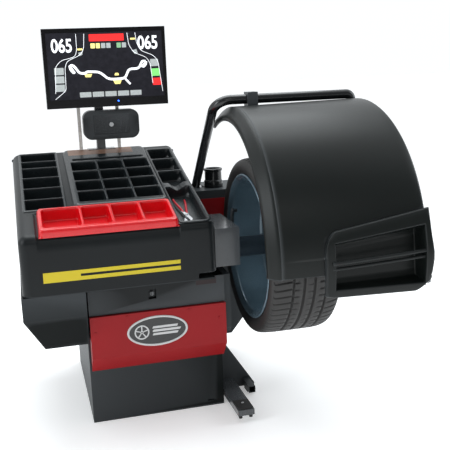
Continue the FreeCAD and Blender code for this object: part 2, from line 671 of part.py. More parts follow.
def make_hood_tube():
    """One bent steel tube: up from the hinge, round a corner and across above the hood."""
    radius = value("tube_radius")
    x = value("tube_x")
    foot = Vector(x, value("pivot_y") - 15, value("pivot_z") + 13.5)
    corner = Vector(x, value("tube_bar_y"), value("tube_bar_z"))
    bar_end = Vector(value("tube_end_x"), value("tube_bar_y"), value("tube_bar_z"))
    tip = bar_end + Vector(0, 0, -22)
    edges = []
    start = foot
    for bend_point, after, bend in ((corner, bar_end, value("tube_bend")), (bar_end, tip, 20)):
        before = (start - bend_point).normalize()
        onward = (after - bend_point).normalize()
        half = math.acos(max(-1, min(1, before.dot(onward)))) / 2
        reach = bend / math.tan(half)
        first = bend_point + before * reach
        last = bend_point + onward * reach
        middle_way = (before + onward).normalize()
        centre = bend_point + middle_way * (bend / math.sin(half))
        middle = centre - middle_way * bend
        edges.append(Part.LineSegment(start, first).toShape())
        edges.append(Part.Arc(first, middle, last).toShape())
        start = last
    if (tip - start).Length > 0.01:
        edges.append(Part.LineSegment(start, tip).toShape())
    path = Part.Wire(edges)
    ring = Part.Wire(Part.Circle(foot, corner - foot, radius).toShape())
    tube = path.makePipeShell([ring], True, True)
    boss = Part.makeCylinder(24, 46, Vector(x - 23, value("pivot_y"), value("pivot_z")), X_AXIS)
    bore = Part.makeCylinder(value("pivot_radius") + 0.05, 60,
                             Vector(x - 30, value("pivot_y"), value("pivot_z")), X_AXIS)
    item = doc.addObject("Part::Feature", "hood_tube")
    item.Shape = tube.fuse(boss).cut(bore).removeSplitter()
    item.Placement = Placement()
    keep("hood_tube", item)


def make_hood():
    """A coned plastic guard over the wheel, with a stepped inner flange and a rolled outer lip."""
    shell = turned("hood_shell", [
        ("hood_left", "hood_radius_left - hood_wall"), ("hood_left", "hood_radius_left"),
        ("hood_right", "hood_radius_right"), ("hood_right", "hood_radius_right - 34"),
        ("hood_right - hood_wall", "hood_radius_right - 34"),
        ("hood_right - hood_wall", "hood_radius_right - hood_wall")], "hood_sweep")
    window = new_sketch(shell, turn="window_start - hood_back_angle")
    rectangle(window, ("window_left - 0.3", "window_right + 0.3"), ("450", "600"))
    revolve(shell, window, "window_sweep", "Groove")
    keep("hood_shell", on_hood_axis(shell, "hood_back_angle"))
    flange = turned("hood_flange", [
        ("hood_left - 0.3", "hood_radius_left - hood_wall"), ("hood_left - 0.3", "hood_radius_left"),
        ("flange_left", "flange_radius"), ("flange_left", "flange_radius - 20"),
        ("flange_left + hood_wall", "flange_radius - 20"),
        ("flange_left + hood_wall", "flange_radius - 2")], "hood_sweep")
    keep("hood_flange", on_hood_axis(flange, "hood_back_angle"))


def make_hood_handle():
    """The handle moulding: a framed window over a recessed pan with a double grip bar across it."""
    body = turned("hood_handle_window", [
        ("bezel_left", "hood_radius_left + 9"), ("bezel_left", "bezel_radius - 12"),
        ("bezel_left + 30", "bezel_radius - 4"), ("bezel_right - 30", "bezel_radius + 14"),
        ("bezel_right", "bezel_radius + 8"), ("bezel_right", "hood_radius_right + 0.3"),
        ("hood_right", "hood_radius_right + 0.3")], "bezel_sweep")
    window = new_sketch(body, turn="window_start - bezel_start")
    rectangle(window, ("window_left", "window_right"), ("450", "600"))
    revolve(body, window, "window_sweep", "Groove")
    on_hood_axis(body, "bezel_start")
    pan = turned("hood_handle_pan", [
        ("window_left", "hood_radius_left + 20"), ("window_left", "pan_radius"),
        ("window_right", "pan_radius"), ("window_right", "hood_radius_right + 5"),
        ("window_right - 4", "hood_radius_right + 5"), ("window_right - 4", "pan_radius + 4"),
        ("window_left + 4", "pan_radius + 4"), ("window_left + 4", "hood_radius_left + 20")],
        "window_sweep - 4")
    on_hood_axis(pan, "window_start + 2")
    bars = []
    for number, angle in enumerate((86.2, 89.2)):
        reach = Rotation(X_AXIS, 90 + angle).multVec(Vector(0, 531 - 8 * number, 0))
        bars.append(cylinder(f"grip_{number}", (
            "window_left - 3", f"hood_y + {reach.y:.3f}", f"hood_z + {reach.z:.3f}"), "7",
            "window_right - window_left + 6"))
    keep("hood_handle", group("hood_handle", body, pan, *bars))


def make_hood_clamp():
    """The block that holds the hood to the tube's cross bar."""
    block = box("clamp_block", ("412", "452"), ("tube_bar_y - 25", "tube_bar_y + 25"),
                ("1116.5", "tube_bar_z + 26"))
    bore = cylinder("clamp_bore", ("410", "tube_bar_y", "tube_bar_z"), "tube_radius", "44")
    keep("hood_clamp", cut("hood_clamp_cut", block, bore))


# ---------------------------------------------------------------- spindle line
def make_frame_plate():
    """The plate that carries the spindle, with the motor's cradle, the encoder reader and an upright."""
    body = new_body("frame_plate")
    sketch = new_sketch(body, offset="cabinet_top")
    rectangle(sketch, ("-cabinet_width / 2", "shell_right - shell_wall - 1"),
              ("frame_front", "frame_back"))
    rectangle(sketch, ("pulley_x - 14", "pulley_x + pulley_wide + 14"), ("-380", "-190"))
    pad(body, sketch, "frame_thick")
    upright = box("sensor_upright", ("-95", "195"), ("spindle_y + 72", "spindle_y + 82"),
                  ("cabinet_top + 1", "580"))
    hanger = box("hanger", ("-110", "50"), ("motor_y - 30", "motor_y + 30"),
                 ("motor_z + 40", "cabinet_top + 1"))
    cradle = cut("motor_cradle", hanger, cylinder("hanger_bore", ("-120", "motor_y", "motor_z"),
                                                  "motor_radius", "190"))
    keep("frame_plate", group("frame_plate_whole", body, upright, cradle, make_encoder_reader()))


def make_spindle_housing():
    """A cast tube on a solid foot; it holds a bearing in each end."""
    body = turned("spindle_housing", [
        ("housing_bore_left", "bearing_radius"), ("housing_bore_left", "bearing_radius + 16"),
        ("housing_bore_right", "bearing_radius + 16"), ("housing_bore_right", "bearing_radius")])
    foot = new_sketch(body, offset="cabinet_top + frame_thick - spindle_z")
    rectangle(foot, ("housing_bore_left + 8", "housing_bore_right - 8"), ("-44", "44"))
    pad(body, foot, "40")
    keep("spindle_housing", on_spindle(body))
    rings = []
    for number, x in enumerate(("housing_bore_left", "housing_bore_right - bearing_wide")):
        ring = cylinder(f"bearing_{number}", (x, "spindle_y", "spindle_z"), "bearing_radius",
                        "bearing_wide")
        bore = cylinder(f"bearing_bore_{number}", (f"{x} - 1", "spindle_y", "spindle_z"),
                        "journal_radius + 0.05", "bearing_wide + 2")
        rings.append(cut(f"bearing_cut_{number}", ring, bore))
    keep("spindle_bearings", group("spindle_bearings", *rings))


def make_spindle():
    keep("spindle_shaft", on_spindle(turned("spindle_shaft", [
        ("-226", "0"), ("-226", "journal_radius"), ("neck_start - 8", "journal_radius"),
        ("neck_start - 8", "neck_radius"), ("flange_face - 22", "neck_radius"),
        ("flange_face - 22", "50"), ("flange_face - 14", "70"), ("flange_face", "70"),
        ("flange_face", "shaft_radius + 28"), ("flange_face - 8", "shaft_radius + 28"),
        ("flange_face - 8", "shaft_radius"), ("nose_start", "shaft_radius"),
        ("nose_start", "nose_radius"), ("shaft_end - 4", "nose_radius"),
        ("shaft_end", "nose_radius - 4"), ("shaft_end", "0")])))
    keep("centring_cone", on_spindle(turned("centring_cone", [
        ("flange_face - 6", "shaft_radius"), ("flange_face - 6", "hub_bore + 9"),
        ("flange_face - 1", "hub_bore + 9"), ("flange_face - 1", "hub_bore - 0.4"),
        ("flange_face + 26", "hub_bore - 8"), ("flange_face + 26", "shaft_radius")])))
    nut = turned("quick_nut", [
        ("flange_face + 42", "58"), ("flange_face + 42", "66"), ("flange_face + 62", "66"),
        ("flange_face + 68", "38"), ("flange_face + 104", "34"), ("flange_face + 112", "28"),
        ("flange_face + 112", "shaft_radius + 0.1"), ("flange_face + 60", "shaft_radius + 0.1"),
        ("flange_face + 60", "56")])
    wings = new_sketch(nut, "YZ_Plane", offset="flange_face + 76")
    rectangle(wings, ("-92", "-30"), ("-9", "9"))
    rectangle(wings, ("30", "92"), ("-9", "9"))
    pad(nut, wings, "18")
    keep("quick_nut", on_spindle(nut))
    keep("pulley_and_brake_disc", on_spindle(turned("pulley_and_brake_disc", [
        ("pulley_x", "journal_radius"), ("pulley_x", "pulley_radius"),
        ("pulley_x + pulley_wide", "pulley_radius"), ("pulley_x + pulley_wide", "28"), ("-133", "28"),
        ("-133", "74"), ("-128", "74"), ("-128", "28"), ("-118", "28"), ("-118", "journal_radius")])))
    keep("encoder_disc", on_spindle(turned("encoder_disc", [
        ("-214", "journal_radius"), ("-214", "44"), ("-212", "44"), ("-212", "22"), ("-204", "22"),
        ("-204", "journal_radius")])))


def make_brake():
    """The caliper straddles the disc's rear edge; one shoe is fixed and one is pressed by the pedal."""
    caliper = box("caliper_block", ("-150", "-113.5"), ("-238", "-206"), ("cabinet_top + frame_thick", "634"))
    slot = box("caliper_slot", ("-142", "-119"), ("-240", "-222"), ("560", "640"))
    lining = box("fixed_lining", ("-142", "-133.4"), ("-240", "-224"), ("590", "630"))
    keep("brake_caliper", group("brake_caliper_whole", cut("brake_caliper", caliper, slot), lining))
    keep("brake_shoe", box("brake_shoe", ("-126.6", "-120.4"), ("-240", "-224"), ("590", "630")))


def make_encoder_reader():
    """A post with a slotted head that straddles the encoder disc's rear edge."""
    bracket = box("encoder_foot", ("-222", "-200"), ("-240", "-206"), ("cabinet_top + 1", "640"))
    gap = box("encoder_gap", ("-216", "-210"), ("-269", "-226"), ("560", "650"))
    head = box("encoder_head", ("-222", "-200"), ("-268", "-240"), ("598", "628"))
    room = box("encoder_room", ("-210", "-199"), ("-270", "-252"), ("590", "640"))
    return cut("encoder_reader", group("encoder_block", bracket, head), gap, room)


def make_sensors():
    """Two force sensors squeezed between the spindle housing's foot and an upright."""
    sensors = []
    for number, x in enumerate(("-70", "170")):
        sensors.append(cylinder(f"sensor_{number}", (x, "spindle_y + 44", "556"), "11", "28", ALONG_Y))
    keep("force_sensors", group("force_sensors", *sensors))


def make_motor():
    """The hollow motor case and its shaft with the small pulley."""
    axis = ("motor_y", "motor_z")
    body = cylinder("motor_body", ("-120", *axis), "motor_radius", "180")
    keep("motor", cut("motor", body, cylinder("motor_bore", ("-121", *axis), "10.05", "160")))
    shaft = cylinder("motor_rotor", ("pulley_x - 4", *axis), "10", "180")
    pulley = cylinder("motor_pulley", ("pulley_x", *axis), "motor_pulley_radius", "pulley_wide")
    keep("motor_shaft", group("motor_shaft", shaft, pulley))


def make_belt():
    """A flat belt, a little clear of both pulleys so that they can turn inside it."""
    gap = value("belt_gap")
    big = Vector(value("pulley_x") + 3, value("spindle_y"), value("spindle_z"))
    small = Vector(value("pulley_x") + 3, value("motor_y"), value("motor_z"))
    wide = value("pulley_wide") - 6

    def loop(extra):
        """The two-circle hull, as one face."""
        first = value("pulley_radius") + gap + extra
        second = value("motor_pulley_radius") + gap + extra
        line = small - big
        span = line.Length
        along = line * (1 / span)
        side = Vector(0, -along.z, along.y)
        lean = math.asin((first - second) / span)
        points = {}
        for sign in (1, -1):
            out = along * math.sin(lean) + side * (sign * math.cos(lean))
            points[sign] = (big + out * first, small + out * second)
        edges = [Part.LineSegment(*points[1]).toShape(),
                 Part.Arc(points[1][1], small + along * second, points[-1][1]).toShape(),
                 Part.LineSegment(points[-1][1], points[-1][0]).toShape(),
                 Part.Arc(points[-1][0], big - along * first, points[1][0]).toShape()]
        return Part.Face(Part.Wire(edges))
    item = doc.addObject("Part::Feature", "drive_belt")
    band = loop(value("belt_thick")).cut(loop(0))
    item.Shape = band.extrude(Vector(wide, 0, 0)).Solids[0]
    item.Placement = Placement()
    keep("drive_belt", item)


# ---------------------------------------------------------------- wheel
def make_wheel():
    rim = turned("wheel_rim", [
        ("rim_left", "rim_flange"), ("rim_left + 7", "rim_flange"), ("rim_left + 11", "255"),
        ("500", "252"), ("530", "232"), ("575", "232"), ("590", "252"), ("rim_right - 11", "255"),
        ("rim_right - 7", "rim_flange"), ("rim_right", "rim_flange"), ("rim_right", "264"),
        ("612", "249"), ("592", "246"), ("577", "226"), ("528", "226"), ("497", "246"),
        ("rim_left + 16", "247"), ("rim_left + 3", "258"), ("rim_left", "264")])
    hub = new_sketch(rim)
    rectangle(hub, ("flange_face + 0.1", "flange_face + 42"), ("hub_bore", "hub_radius"))
    revolve(rim, hub)
    spoke = new_sketch(rim, "YZ_Plane", offset="flange_face + 6")
    outline(spoke, [("-17", "hub_radius - 8"), ("17", "hub_radius - 8"), ("11", "229"), ("-11", "229")])
    arm = pad(rim, spoke, "34")
    pattern = rim.newObject("PartDesign::PolarPattern", "wheel_rim_spokes")
    pattern.Originals = [arm]
    pattern.Axis = (origin_item(rim, "X_Axis"), [""])
    pattern.Angle = 360
    pattern.Occurrences = 10
    rim.Tip = pattern
    keep("wheel_rim", on_spindle(rim))
    keep("tyre", on_spindle(turned("tyre", [
        ("rim_left + 12", "256"), ("rim_left + 9", "274"), ("tyre_left + 2", "286"),
        ("tyre_left", "302"), ("tyre_left + 7", "318"), ("tyre_left + 22", "tyre_radius - 3"),
        ("tyre_left + 60", "tyre_radius"), ("tyre_right - 60", "tyre_radius"),
        ("tyre_right - 22", "tyre_radius - 3"), ("tyre_right - 7", "318"), ("tyre_right", "302"),
        ("tyre_right - 2", "286"), ("rim_right - 9", "274"), ("rim_right - 12", "256"),
        ("rim_right - 26", "258"), ("rim_right - 16", "290"), ("rim_right - 26", "314"),
        ("rim_left + 26", "314"), ("rim_left + 16", "290"), ("rim_left + 26", "258")])))


# ---------------------------------------------------------------- gauge arm
def make_gauge():
    """The distance gauge: a block on the shell's side, a rod that slides out and a swinging finger."""
    block = box("gauge_block", ("block_left", "block_right"), ("block_front", "block_back"),
                ("block_bottom", "block_top"))
    hollow = box("gauge_hollow", ("block_left - 1", "block_right - 5"), ("block_front + 5", "block_back - 5"),
                 ("block_bottom + 5", "block_top - 5"))
    nose = cylinder("gauge_nose", ("block_right - 8", "spindle_y", "spindle_z"), "neck_radius + 6", "20")
    port = cylinder("gauge_port", ("block_right - 8", "gauge_y", "gauge_z"), "gauge_rod + 3", "20")
    shell = cut("gauge_shell", block, hollow, nose, port)
    guide = cylinder("guide_form", ("block_right - 40", "gauge_y", "gauge_z"), "gauge_rod + 7", "35")
    web = box("guide_web", ("block_right - 38", "block_right - 10"), ("gauge_y + 12", "block_back - 4"),
              ("gauge_z - 6", "gauge_z + 6"))
    keep("gauge_block", cut("gauge_block", group("gauge_whole", shell, guide, web), cylinder(
        "guide_bore", ("block_right - 41", "gauge_y", "gauge_z"), "gauge_rod + 0.05", "50")))
    keep("gauge_rod", cylinder("gauge_rod", ("block_right - 280", "gauge_y", "gauge_z"), "gauge_rod", "300"))
    body = new_body("gauge_finger")
    arm = new_sketch(body, "YZ_Plane", offset="block_right + 8")
    outline(arm, [("-14", "-14"), ("14", "-14"), ("12", "20"), ("0", "62"), ("-16", "78"), ("-26", "70"),
                  ("-14", "48")])
    circle(arm, "0.0001", "0.0001", "gauge_rod + 0.05")
    pad(body, arm, "9")
    place(body, "0", "gauge_y", "gauge_z")
    tip = cylinder("gauge_tip", ("block_right + 16", "gauge_y - 18", "gauge_z + 68"), "6", "13")
    keep("gauge_finger", group("gauge_finger_whole", body, tip))


# ---------------------------------------------------------------- monitor, post and pod
def make_monitor():
    wide = ("monitor_left", "monitor_right")
    high = ("monitor_low", "monitor_high")
    case = box("case_form", wide, ("monitor_front + 10", "monitor_back"), high)
    room = box("case_room", ("monitor_left + 4", "monitor_right - 4"),
               ("monitor_front + 9", "monitor_back - 4"), ("monitor_low + 4", "monitor_high - 4"))
    keep("monitor_case", cut("monitor_case", case, room))
    frame = box("bezel_form", wide, ("monitor_front", "monitor_front + 9.8"), high)
    window = box("bezel_window", ("monitor_left + 15", "monitor_right - 13"),
                 ("monitor_front - 1", "monitor_front + 11"), ("monitor_low + 34", "monitor_high - 17"))
    keep("monitor_bezel", cut("monitor_bezel", frame, window))
    keep("monitor_screen", box("monitor_screen", ("monitor_left + 15.3", "monitor_right - 13.3"),
                               ("monitor_front + 2", "monitor_front + 9"),
                               ("monitor_low + 34.3", "monitor_high - 17.3")))
    plate = box("vesa_plate", ("post_left - 32", "post_right + 32"), ("monitor_back", "monitor_back + 4"),
                ("tilt_z - 50", "tilt_z + 50"))
    ear = box("vesa_ear", ("-97", "-81"), ("monitor_back + 4", "tilt_y"), ("tilt_z - 8", "tilt_z + 8"))
    knuckle = cylinder("vesa_knuckle", ("-97", "tilt_y", "tilt_z"), "8", "16")
    bore = cylinder("vesa_bore", ("-98", "tilt_y", "tilt_z"), "4.05", "20")
    keep("monitor_mount", cut("monitor_mount", group("vesa_whole", plate, ear, knuckle), bore))


def make_post():
    outer = box("post_outer", ("post_left", "post_right"), ("post_front", "post_front + post_size"),
                ("945", "post_top"))
    inner = box("post_inner", ("post_left + 3", "post_right - 3"),
                ("post_front + 3", "post_front + post_size - 3"), ("940", "post_top + 5"))
    tube = cut("post_tube", outer, inner)
    ears = []
    for number, x in enumerate(("-107", "-80.5")):
        ears.append(box(f"post_ear_{number}", (x, f"{x} + 9.5"), ("tilt_y - 8", "post_front + 1"),
                        ("tilt_z - 12", "tilt_z + 12")))
    pin = cylinder("tilt_pin", ("-107", "tilt_y", "tilt_z"), "4", "36")
    arm = box("pod_arm", ("post_left + 4", "post_right - 4"), ("pod_back", "post_front + 1"),
              ("pod_low + 20", "pod_high - 20"))
    foot = box("post_foot", ("post_left - 40", "post_right + 40"), ("296", "349"), ("944", "948"))
    keep("monitor_post", group("monitor_post", tube, pin, arm, foot, *ears))
    bars = []
    for number, x in enumerate(("-182", "-20")):
        bars.append(box(f"upright_{number}", (x, f"{x} + 14"), ("304", "309.7"), ("936", "1150")))
    bars.append(box("upright_cross", ("-182", "-6"), ("304", "309.7"), ("1150", "1168")))
    keep("monitor_uprights", group("monitor_uprights", *bars))


def make_pod():
    """The rounded control box on the post, with its ribbed panel and turning knob."""
    body = new_body("control_pod")
    sketch = new_sketch(body, "XZ_Plane", offset="-pod_front")
    rectangle(sketch, ("pod_left", "pod_right"), ("pod_low", "pod_high"))
    block = pad(body, sketch, "pod_back - pod_front", reverse=True)
    round_edges(body, block, parallel_to(1), "34")
    panel = box("pod_panel", ("pod_left + 42", "pod_right - 42"), ("pod_front - 2", "pod_front + 1"),
                ("pod_low + 22", "pod_high - 18"))
    keep("control_pod", group("control_pod_whole", body, panel))
    keep("pod_knob", cylinder("pod_knob", ("knob_x", "pod_front - 12", "knob_z"), "9", "9.7", ALONG_Y))


# ---------------------------------------------------------------- small outside and inside pieces
def make_adapter_cup():
    """The spare clamping cup that stands on the rear housing, with a hexagonal socket."""
    body = new_body("adapter_cup")
    for radius, low, high in (("40", "0", "30"), ("36", "30", "70"), ("40", "70", "80")):
        sketch = new_sketch(body, offset=low)
        circle(sketch, "0.0001", "0.0001", radius)
        pad(body, sketch, f"{high} - {low}")
    socket = new_sketch(body, offset="80")
    circle(socket, "0.0001", "0.0001", "30")
    pocket(body, socket, "10")
    hexagon = new_sketch(body, offset="80")
    corners = [(f"{21 * math.cos(math.radians(60 * turn)):.4f}",
                f"{21 * math.sin(math.radians(60 * turn)):.4f}") for turn in range(6)]
    outline(hexagon, [(across, "0" if abs(float(up)) < 0.001 else up) for across, up in corners])
    pocket(body, hexagon, "60")
    place(body, "356", "146", "housing_top")
    keep("adapter_cup", body)


def make_electrics():
    """Boards inside the cabinet, and the mains inlet and rocker on its back wall."""
    board = box("board", ("-180", "20"), ("282", "285"), ("230", "400"))
    spacers = [cylinder(f"spacer_{side}_{level}", (x, "284", z), "4", "8", ALONG_Y)
               for side, x in (("left", "-170"), ("right", "10"))
               for level, z in (("low", "240"), ("high", "390"))]
    keep("control_board", group("control_board", board, *spacers))
    keep("power_supply", box("power_supply", ("40", "110"), ("232", "292"), ("220", "340")))
    rear = "cabinet_depth / 2"
    inlet = box("inlet_form", ("140", "176"), (rear, f"{rear} + 8"), ("110", "150"))
    socket = box("inlet_socket", ("146", "170"), (f"{rear} + 1", f"{rear} + 9"), ("118", "142"))
    frame = box("switch_form", ("140", "176"), (rear, f"{rear} + 8"), ("150", "184"))
    mouth = box("switch_mouth", ("145", "171"), (f"{rear} - 1", f"{rear} + 9"), ("156", "182"))
    keep("mains_inlet", cut("mains_inlet", group("inlet_and_frame", inlet, frame), socket, mouth))
    rocker = new_body("power_rocker")
    side = new_sketch(rocker, "YZ_Plane", offset="145.5")
    outline(side, [("-4", "-10"), ("4", "-10"), ("1", "-0.5"), ("5.5", "9.5"), ("-4", "9.5")])
    pad(rocker, side, "25")
    place(rocker, "0", f"{rear} + 6", "169")
    keep("power_rocker", rocker)


def make_all():
    make_base_plate()
    make_cabinet()
    make_side_flare()
    make_brake_pedal()
    make_front_panel()
    make_badge()
    make_upper_front_plate()
    make_latch_key()
    make_lower_left_cover()
    make_lower_right_cover()
    make_body_shell()
    make_trays()
    make_red_tray()
    make_trim()
    make_pliers()
    make_rear_housing()
    make_hood_hinge()
    make_hood_tube()
    make_hood()
    make_hood_handle()
    make_hood_clamp()
    make_frame_plate()
    make_spindle_housing()
    make_spindle()
    make_brake()
    make_sensors()
    make_motor()
    make_belt()
    make_wheel()
    make_gauge()
    make_monitor()
    make_post()
    make_pod()
    make_adapter_cup()
    make_electrics()
    make_screws("panel_screws", [("-107", "red_front", "414"), ("117", "red_front", "414"),
                                 ("231", "red_front", "370"), ("-223", "red_front", "365")], -1)


def check_all():
    failed = [item.Name for item in doc.Objects if "Invalid" in item.State or "Error" in item.State]
    for label, item in nodes.items():
        shape = item.Shape
        if shape.isNull() or not shape.isValid() or not shape.Solids:
            failed.append(label)
    if failed:
        raise SystemExit("failed: " + ", ".join(failed))


make_all()
doc.recompute()
check_all()
os.makedirs("parts", exist_ok=True)
for label, item in nodes.items():
    shape = item.Shape
    shape.exportStep(f"parts/{label}.step")
    print(f"{label:22s} solids {len(shape.Solids):2d}  volume {shape.Volume / 1000:9.1f} cm3")
print(len(nodes), "nodes")
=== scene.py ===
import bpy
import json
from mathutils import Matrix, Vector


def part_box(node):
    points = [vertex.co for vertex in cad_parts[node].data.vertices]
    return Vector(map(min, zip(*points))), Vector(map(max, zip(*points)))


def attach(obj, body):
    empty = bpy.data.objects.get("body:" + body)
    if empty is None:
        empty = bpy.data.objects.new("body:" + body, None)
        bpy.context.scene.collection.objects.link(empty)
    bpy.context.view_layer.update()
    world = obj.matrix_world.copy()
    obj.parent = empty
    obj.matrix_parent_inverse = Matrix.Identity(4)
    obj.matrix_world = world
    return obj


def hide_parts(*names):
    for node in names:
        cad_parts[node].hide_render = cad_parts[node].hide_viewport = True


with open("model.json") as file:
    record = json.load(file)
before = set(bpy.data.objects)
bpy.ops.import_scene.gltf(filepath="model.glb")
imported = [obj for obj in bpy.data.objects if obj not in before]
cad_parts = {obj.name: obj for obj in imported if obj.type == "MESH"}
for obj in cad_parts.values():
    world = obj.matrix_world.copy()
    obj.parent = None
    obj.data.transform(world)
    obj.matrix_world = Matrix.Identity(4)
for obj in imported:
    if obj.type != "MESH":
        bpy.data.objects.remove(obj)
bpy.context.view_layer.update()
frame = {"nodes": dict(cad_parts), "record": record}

import json
import math

import bmesh
import bpy
from mathutils import Matrix, Vector

MM = 0.001
TILT = math.radians(15)
TRAY_Y, TRAY_Z = -0.397, 0.745
HOOD_Y, HOOD_Z = -0.250, 0.617
SPIN_Y, SPIN_Z = -0.300, 0.612
FLOOR_HALF = 40
WINDOW_FOOT = 97.6  # the lower edge of the handle's window, in degrees round the hood


# ------------------------------------------------------------------ camera and light
def make_camera():
    yaw, pitch, roll = (math.radians(v) for v in (14.62, 12.20, -2.15))
    f = Vector((math.sin(yaw) * math.cos(pitch), math.cos(yaw) * math.cos(pitch), -math.sin(pitch)))
    r = Vector((math.cos(yaw), -math.sin(yaw), 0))
    u = r.cross(f)
    right = math.cos(roll) * r + math.sin(roll) * u
    up = -math.sin(roll) * r + math.cos(roll) * u
    data = bpy.data.cameras.new("camera")
    data.lens = 61.4
    data.sensor_width = 36
    camera = bpy.data.objects.new("camera", data)
    bpy.context.collection.objects.link(camera)
    rows = [[right[i], up[i], -f[i], (-0.419, -2.995, 1.302)[i]] for i in range(3)]
    camera.matrix_world = Matrix(rows + [[0, 0, 0, 1]])
    bpy.context.scene.camera = camera


def area_light(name, place, target, size, power, colour=(1, 1, 1)):
    data = bpy.data.lights.new(name, "AREA")
    data.shape = "RECTANGLE"
    data.size, data.size_y = size
    data.energy = power
    data.color = colour
    light = bpy.data.objects.new(name, data)
    light.location = place
    light.rotation_euler = (Vector(target) - Vector(place)).to_track_quat("-Z", "Y").to_euler()
    bpy.context.collection.objects.link(light)


def make_stage():
    bpy.context.scene.view_settings.view_transform = "Standard"
    world = bpy.data.worlds.new("studio")
    bpy.context.scene.world = world
    world.use_nodes = True
    tree = world.node_tree
    sky = tree.nodes["Background"]
    way = tree.nodes.new("ShaderNodeTexCoord")
    split = tree.nodes.new("ShaderNodeSeparateXYZ")
    blend = tree.nodes.new("ShaderNodeMath")
    blend.operation = "MULTIPLY_ADD"
    blend.inputs[1].default_value = 0.55
    spread = tree.nodes.new("ShaderNodeMapRange")
    spread.interpolation_type = "SMOOTHSTEP"
    for name, amount in (("From Min", -0.25), ("From Max", 0.45), ("To Min", 0.22), ("To Max", 1.05)):
        spread.inputs[name].default_value = amount
    tree.links.new(way.outputs["Generated"], split.inputs["Vector"])
    tree.links.new(split.outputs["Z"], blend.inputs[0])
    tree.links.new(split.outputs["Y"], blend.inputs[2])
    tree.links.new(blend.outputs["Value"], spread.inputs["Value"])
    tree.links.new(spread.outputs["Result"], sky.inputs["Strength"])
    sky.inputs["Color"].default_value = (0.95, 0.98, 1.0, 1)
    area_light("top_soft", (0.2, 0.7, 3.4), (0.2, -0.1, 0.9), (3.0, 2.0), 62, (0.93, 0.98, 1.0))
    area_light("right_soft", (3.4, -1.0, 2.3), (0.5, -0.2, 0.8), (1.2, 2.0), 26, (0.88, 0.95, 1.0))
    area_light("left_soft", (-2.8, -1.2, 1.9), (0.3, -0.3, 0.6), (1.0, 1.8), 30, (0.92, 0.97, 1.0))
    area_light("front_soft", (0.2, -3.8, 2.8), (0.1, 0, 0.6), (2.0, 0.8), 9, (1.0, 0.98, 0.96))
    data = bpy.data.meshes.new("floor")
    data.from_pydata([(x * FLOOR_HALF, y * FLOOR_HALF, 0) for x, y in ((-1, -1), (1, -1), (1, 1), (-1, 1))],
                     [], [(0, 1, 2, 3)])
    floor = bpy.data.objects.new("floor", data)
    bpy.context.collection.objects.link(floor)
    data.materials.append(material("floor_white", (0.97, 0.97, 0.97), 0.9, grain=0.02, mottle=0.01, spec=0.1,
                                   glow=0.3))


# ------------------------------------------------------------------ materials
def material(name, colour, rough, metal=0.0, coat=0.0, grain=0.15, grain_size=900, mottle=0.12,
             mottle_size=6.0, spec=0.5, wear=0.0, wear_colour=(0.25, 0.27, 0.29), glow=None, brushed=False):
    """A procedural finish: broad tone changes, a fine grain in the bump and the roughness, worn edges."""
    made = bpy.data.materials.new("finish_" + name)
    made.use_nodes = True
    tree = made.node_tree
    shader = tree.nodes["Principled BSDF"]
    shader.inputs["Metallic"].default_value = metal
    shader.inputs["Coat Weight"].default_value = coat
    shader.inputs["Coat Roughness"].default_value = 0.08
    shader.inputs["Specular IOR Level"].default_value = spec
    place = tree.nodes.new("ShaderNodeTexCoord")
    mapping = tree.nodes.new("ShaderNodeMapping")
    if brushed:
        mapping.inputs["Scale"].default_value = (1, 1, 0.03)
    tree.links.new(place.outputs["Object"], mapping.inputs["Vector"])

    def noise(size, detail):
        node = tree.nodes.new("ShaderNodeTexNoise")
        node.inputs["Scale"].default_value = size
        node.inputs["Detail"].default_value = detail
        tree.links.new(mapping.outputs["Vector"], node.inputs["Vector"])
        return node

    def spread(source, low, high):
        node = tree.nodes.new("ShaderNodeMapRange")
        node.inputs["From Min"].default_value = 0.3
        node.inputs["From Max"].default_value = 0.7
        node.inputs["To Min"].default_value = low
        node.inputs["To Max"].default_value = high
        tree.links.new(source, node.inputs["Value"])
        return node.outputs["Result"]
    broad = noise(mottle_size, 4)
    fine = noise(grain_size, 2)
    ramp = tree.nodes.new("ShaderNodeValToRGB")
    dark = [c * (1 - mottle) for c in colour]
    light = [min(1, c * (1 + mottle)) for c in colour]
    ramp.color_ramp.elements[0].position = 0.3
    ramp.color_ramp.elements[1].position = 0.7
    ramp.color_ramp.elements[0].color = (*dark, 1)
    ramp.color_ramp.elements[1].color = (*light, 1)
    tree.links.new(broad.outputs["Fac"], ramp.inputs["Fac"])
    tone = ramp.outputs["Color"]
    if wear:
        shape = tree.nodes.new("ShaderNodeNewGeometry")
        edge = tree.nodes.new("ShaderNodeMapRange")
        edge.inputs["From Min"].default_value = 0.52
        edge.inputs["From Max"].default_value = 0.62
        edge.inputs["To Max"].default_value = wear
        tree.links.new(shape.outputs["Pointiness"], edge.inputs["Value"])
        mix = tree.nodes.new("ShaderNodeMixRGB")
        mix.inputs["Color2"].default_value = (*wear_colour, 1)
        tree.links.new(edge.outputs["Result"], mix.inputs["Fac"])
        tree.links.new(tone, mix.inputs["Color1"])
        tone = mix.outputs["Color"]
    tree.links.new(tone, shader.inputs["Base Color"])
    tree.links.new(spread(fine.outputs["Fac"], max(0.03, rough - 0.06), min(1, rough + 0.06)),
                   shader.inputs["Roughness"])
    bump = tree.nodes.new("ShaderNodeBump")
    bump.inputs["Strength"].default_value = grain
    bump.inputs["Distance"].default_value = 0.0004
    tree.links.new(fine.outputs["Fac"], bump.inputs["Height"])
    tree.links.new(bump.outputs["Normal"], shader.inputs["Normal"])
    if glow is not None:
        shader.inputs["Emission Color"].default_value = (*colour, 1)
        shader.inputs["Emission Strength"].default_value = glow
    return made


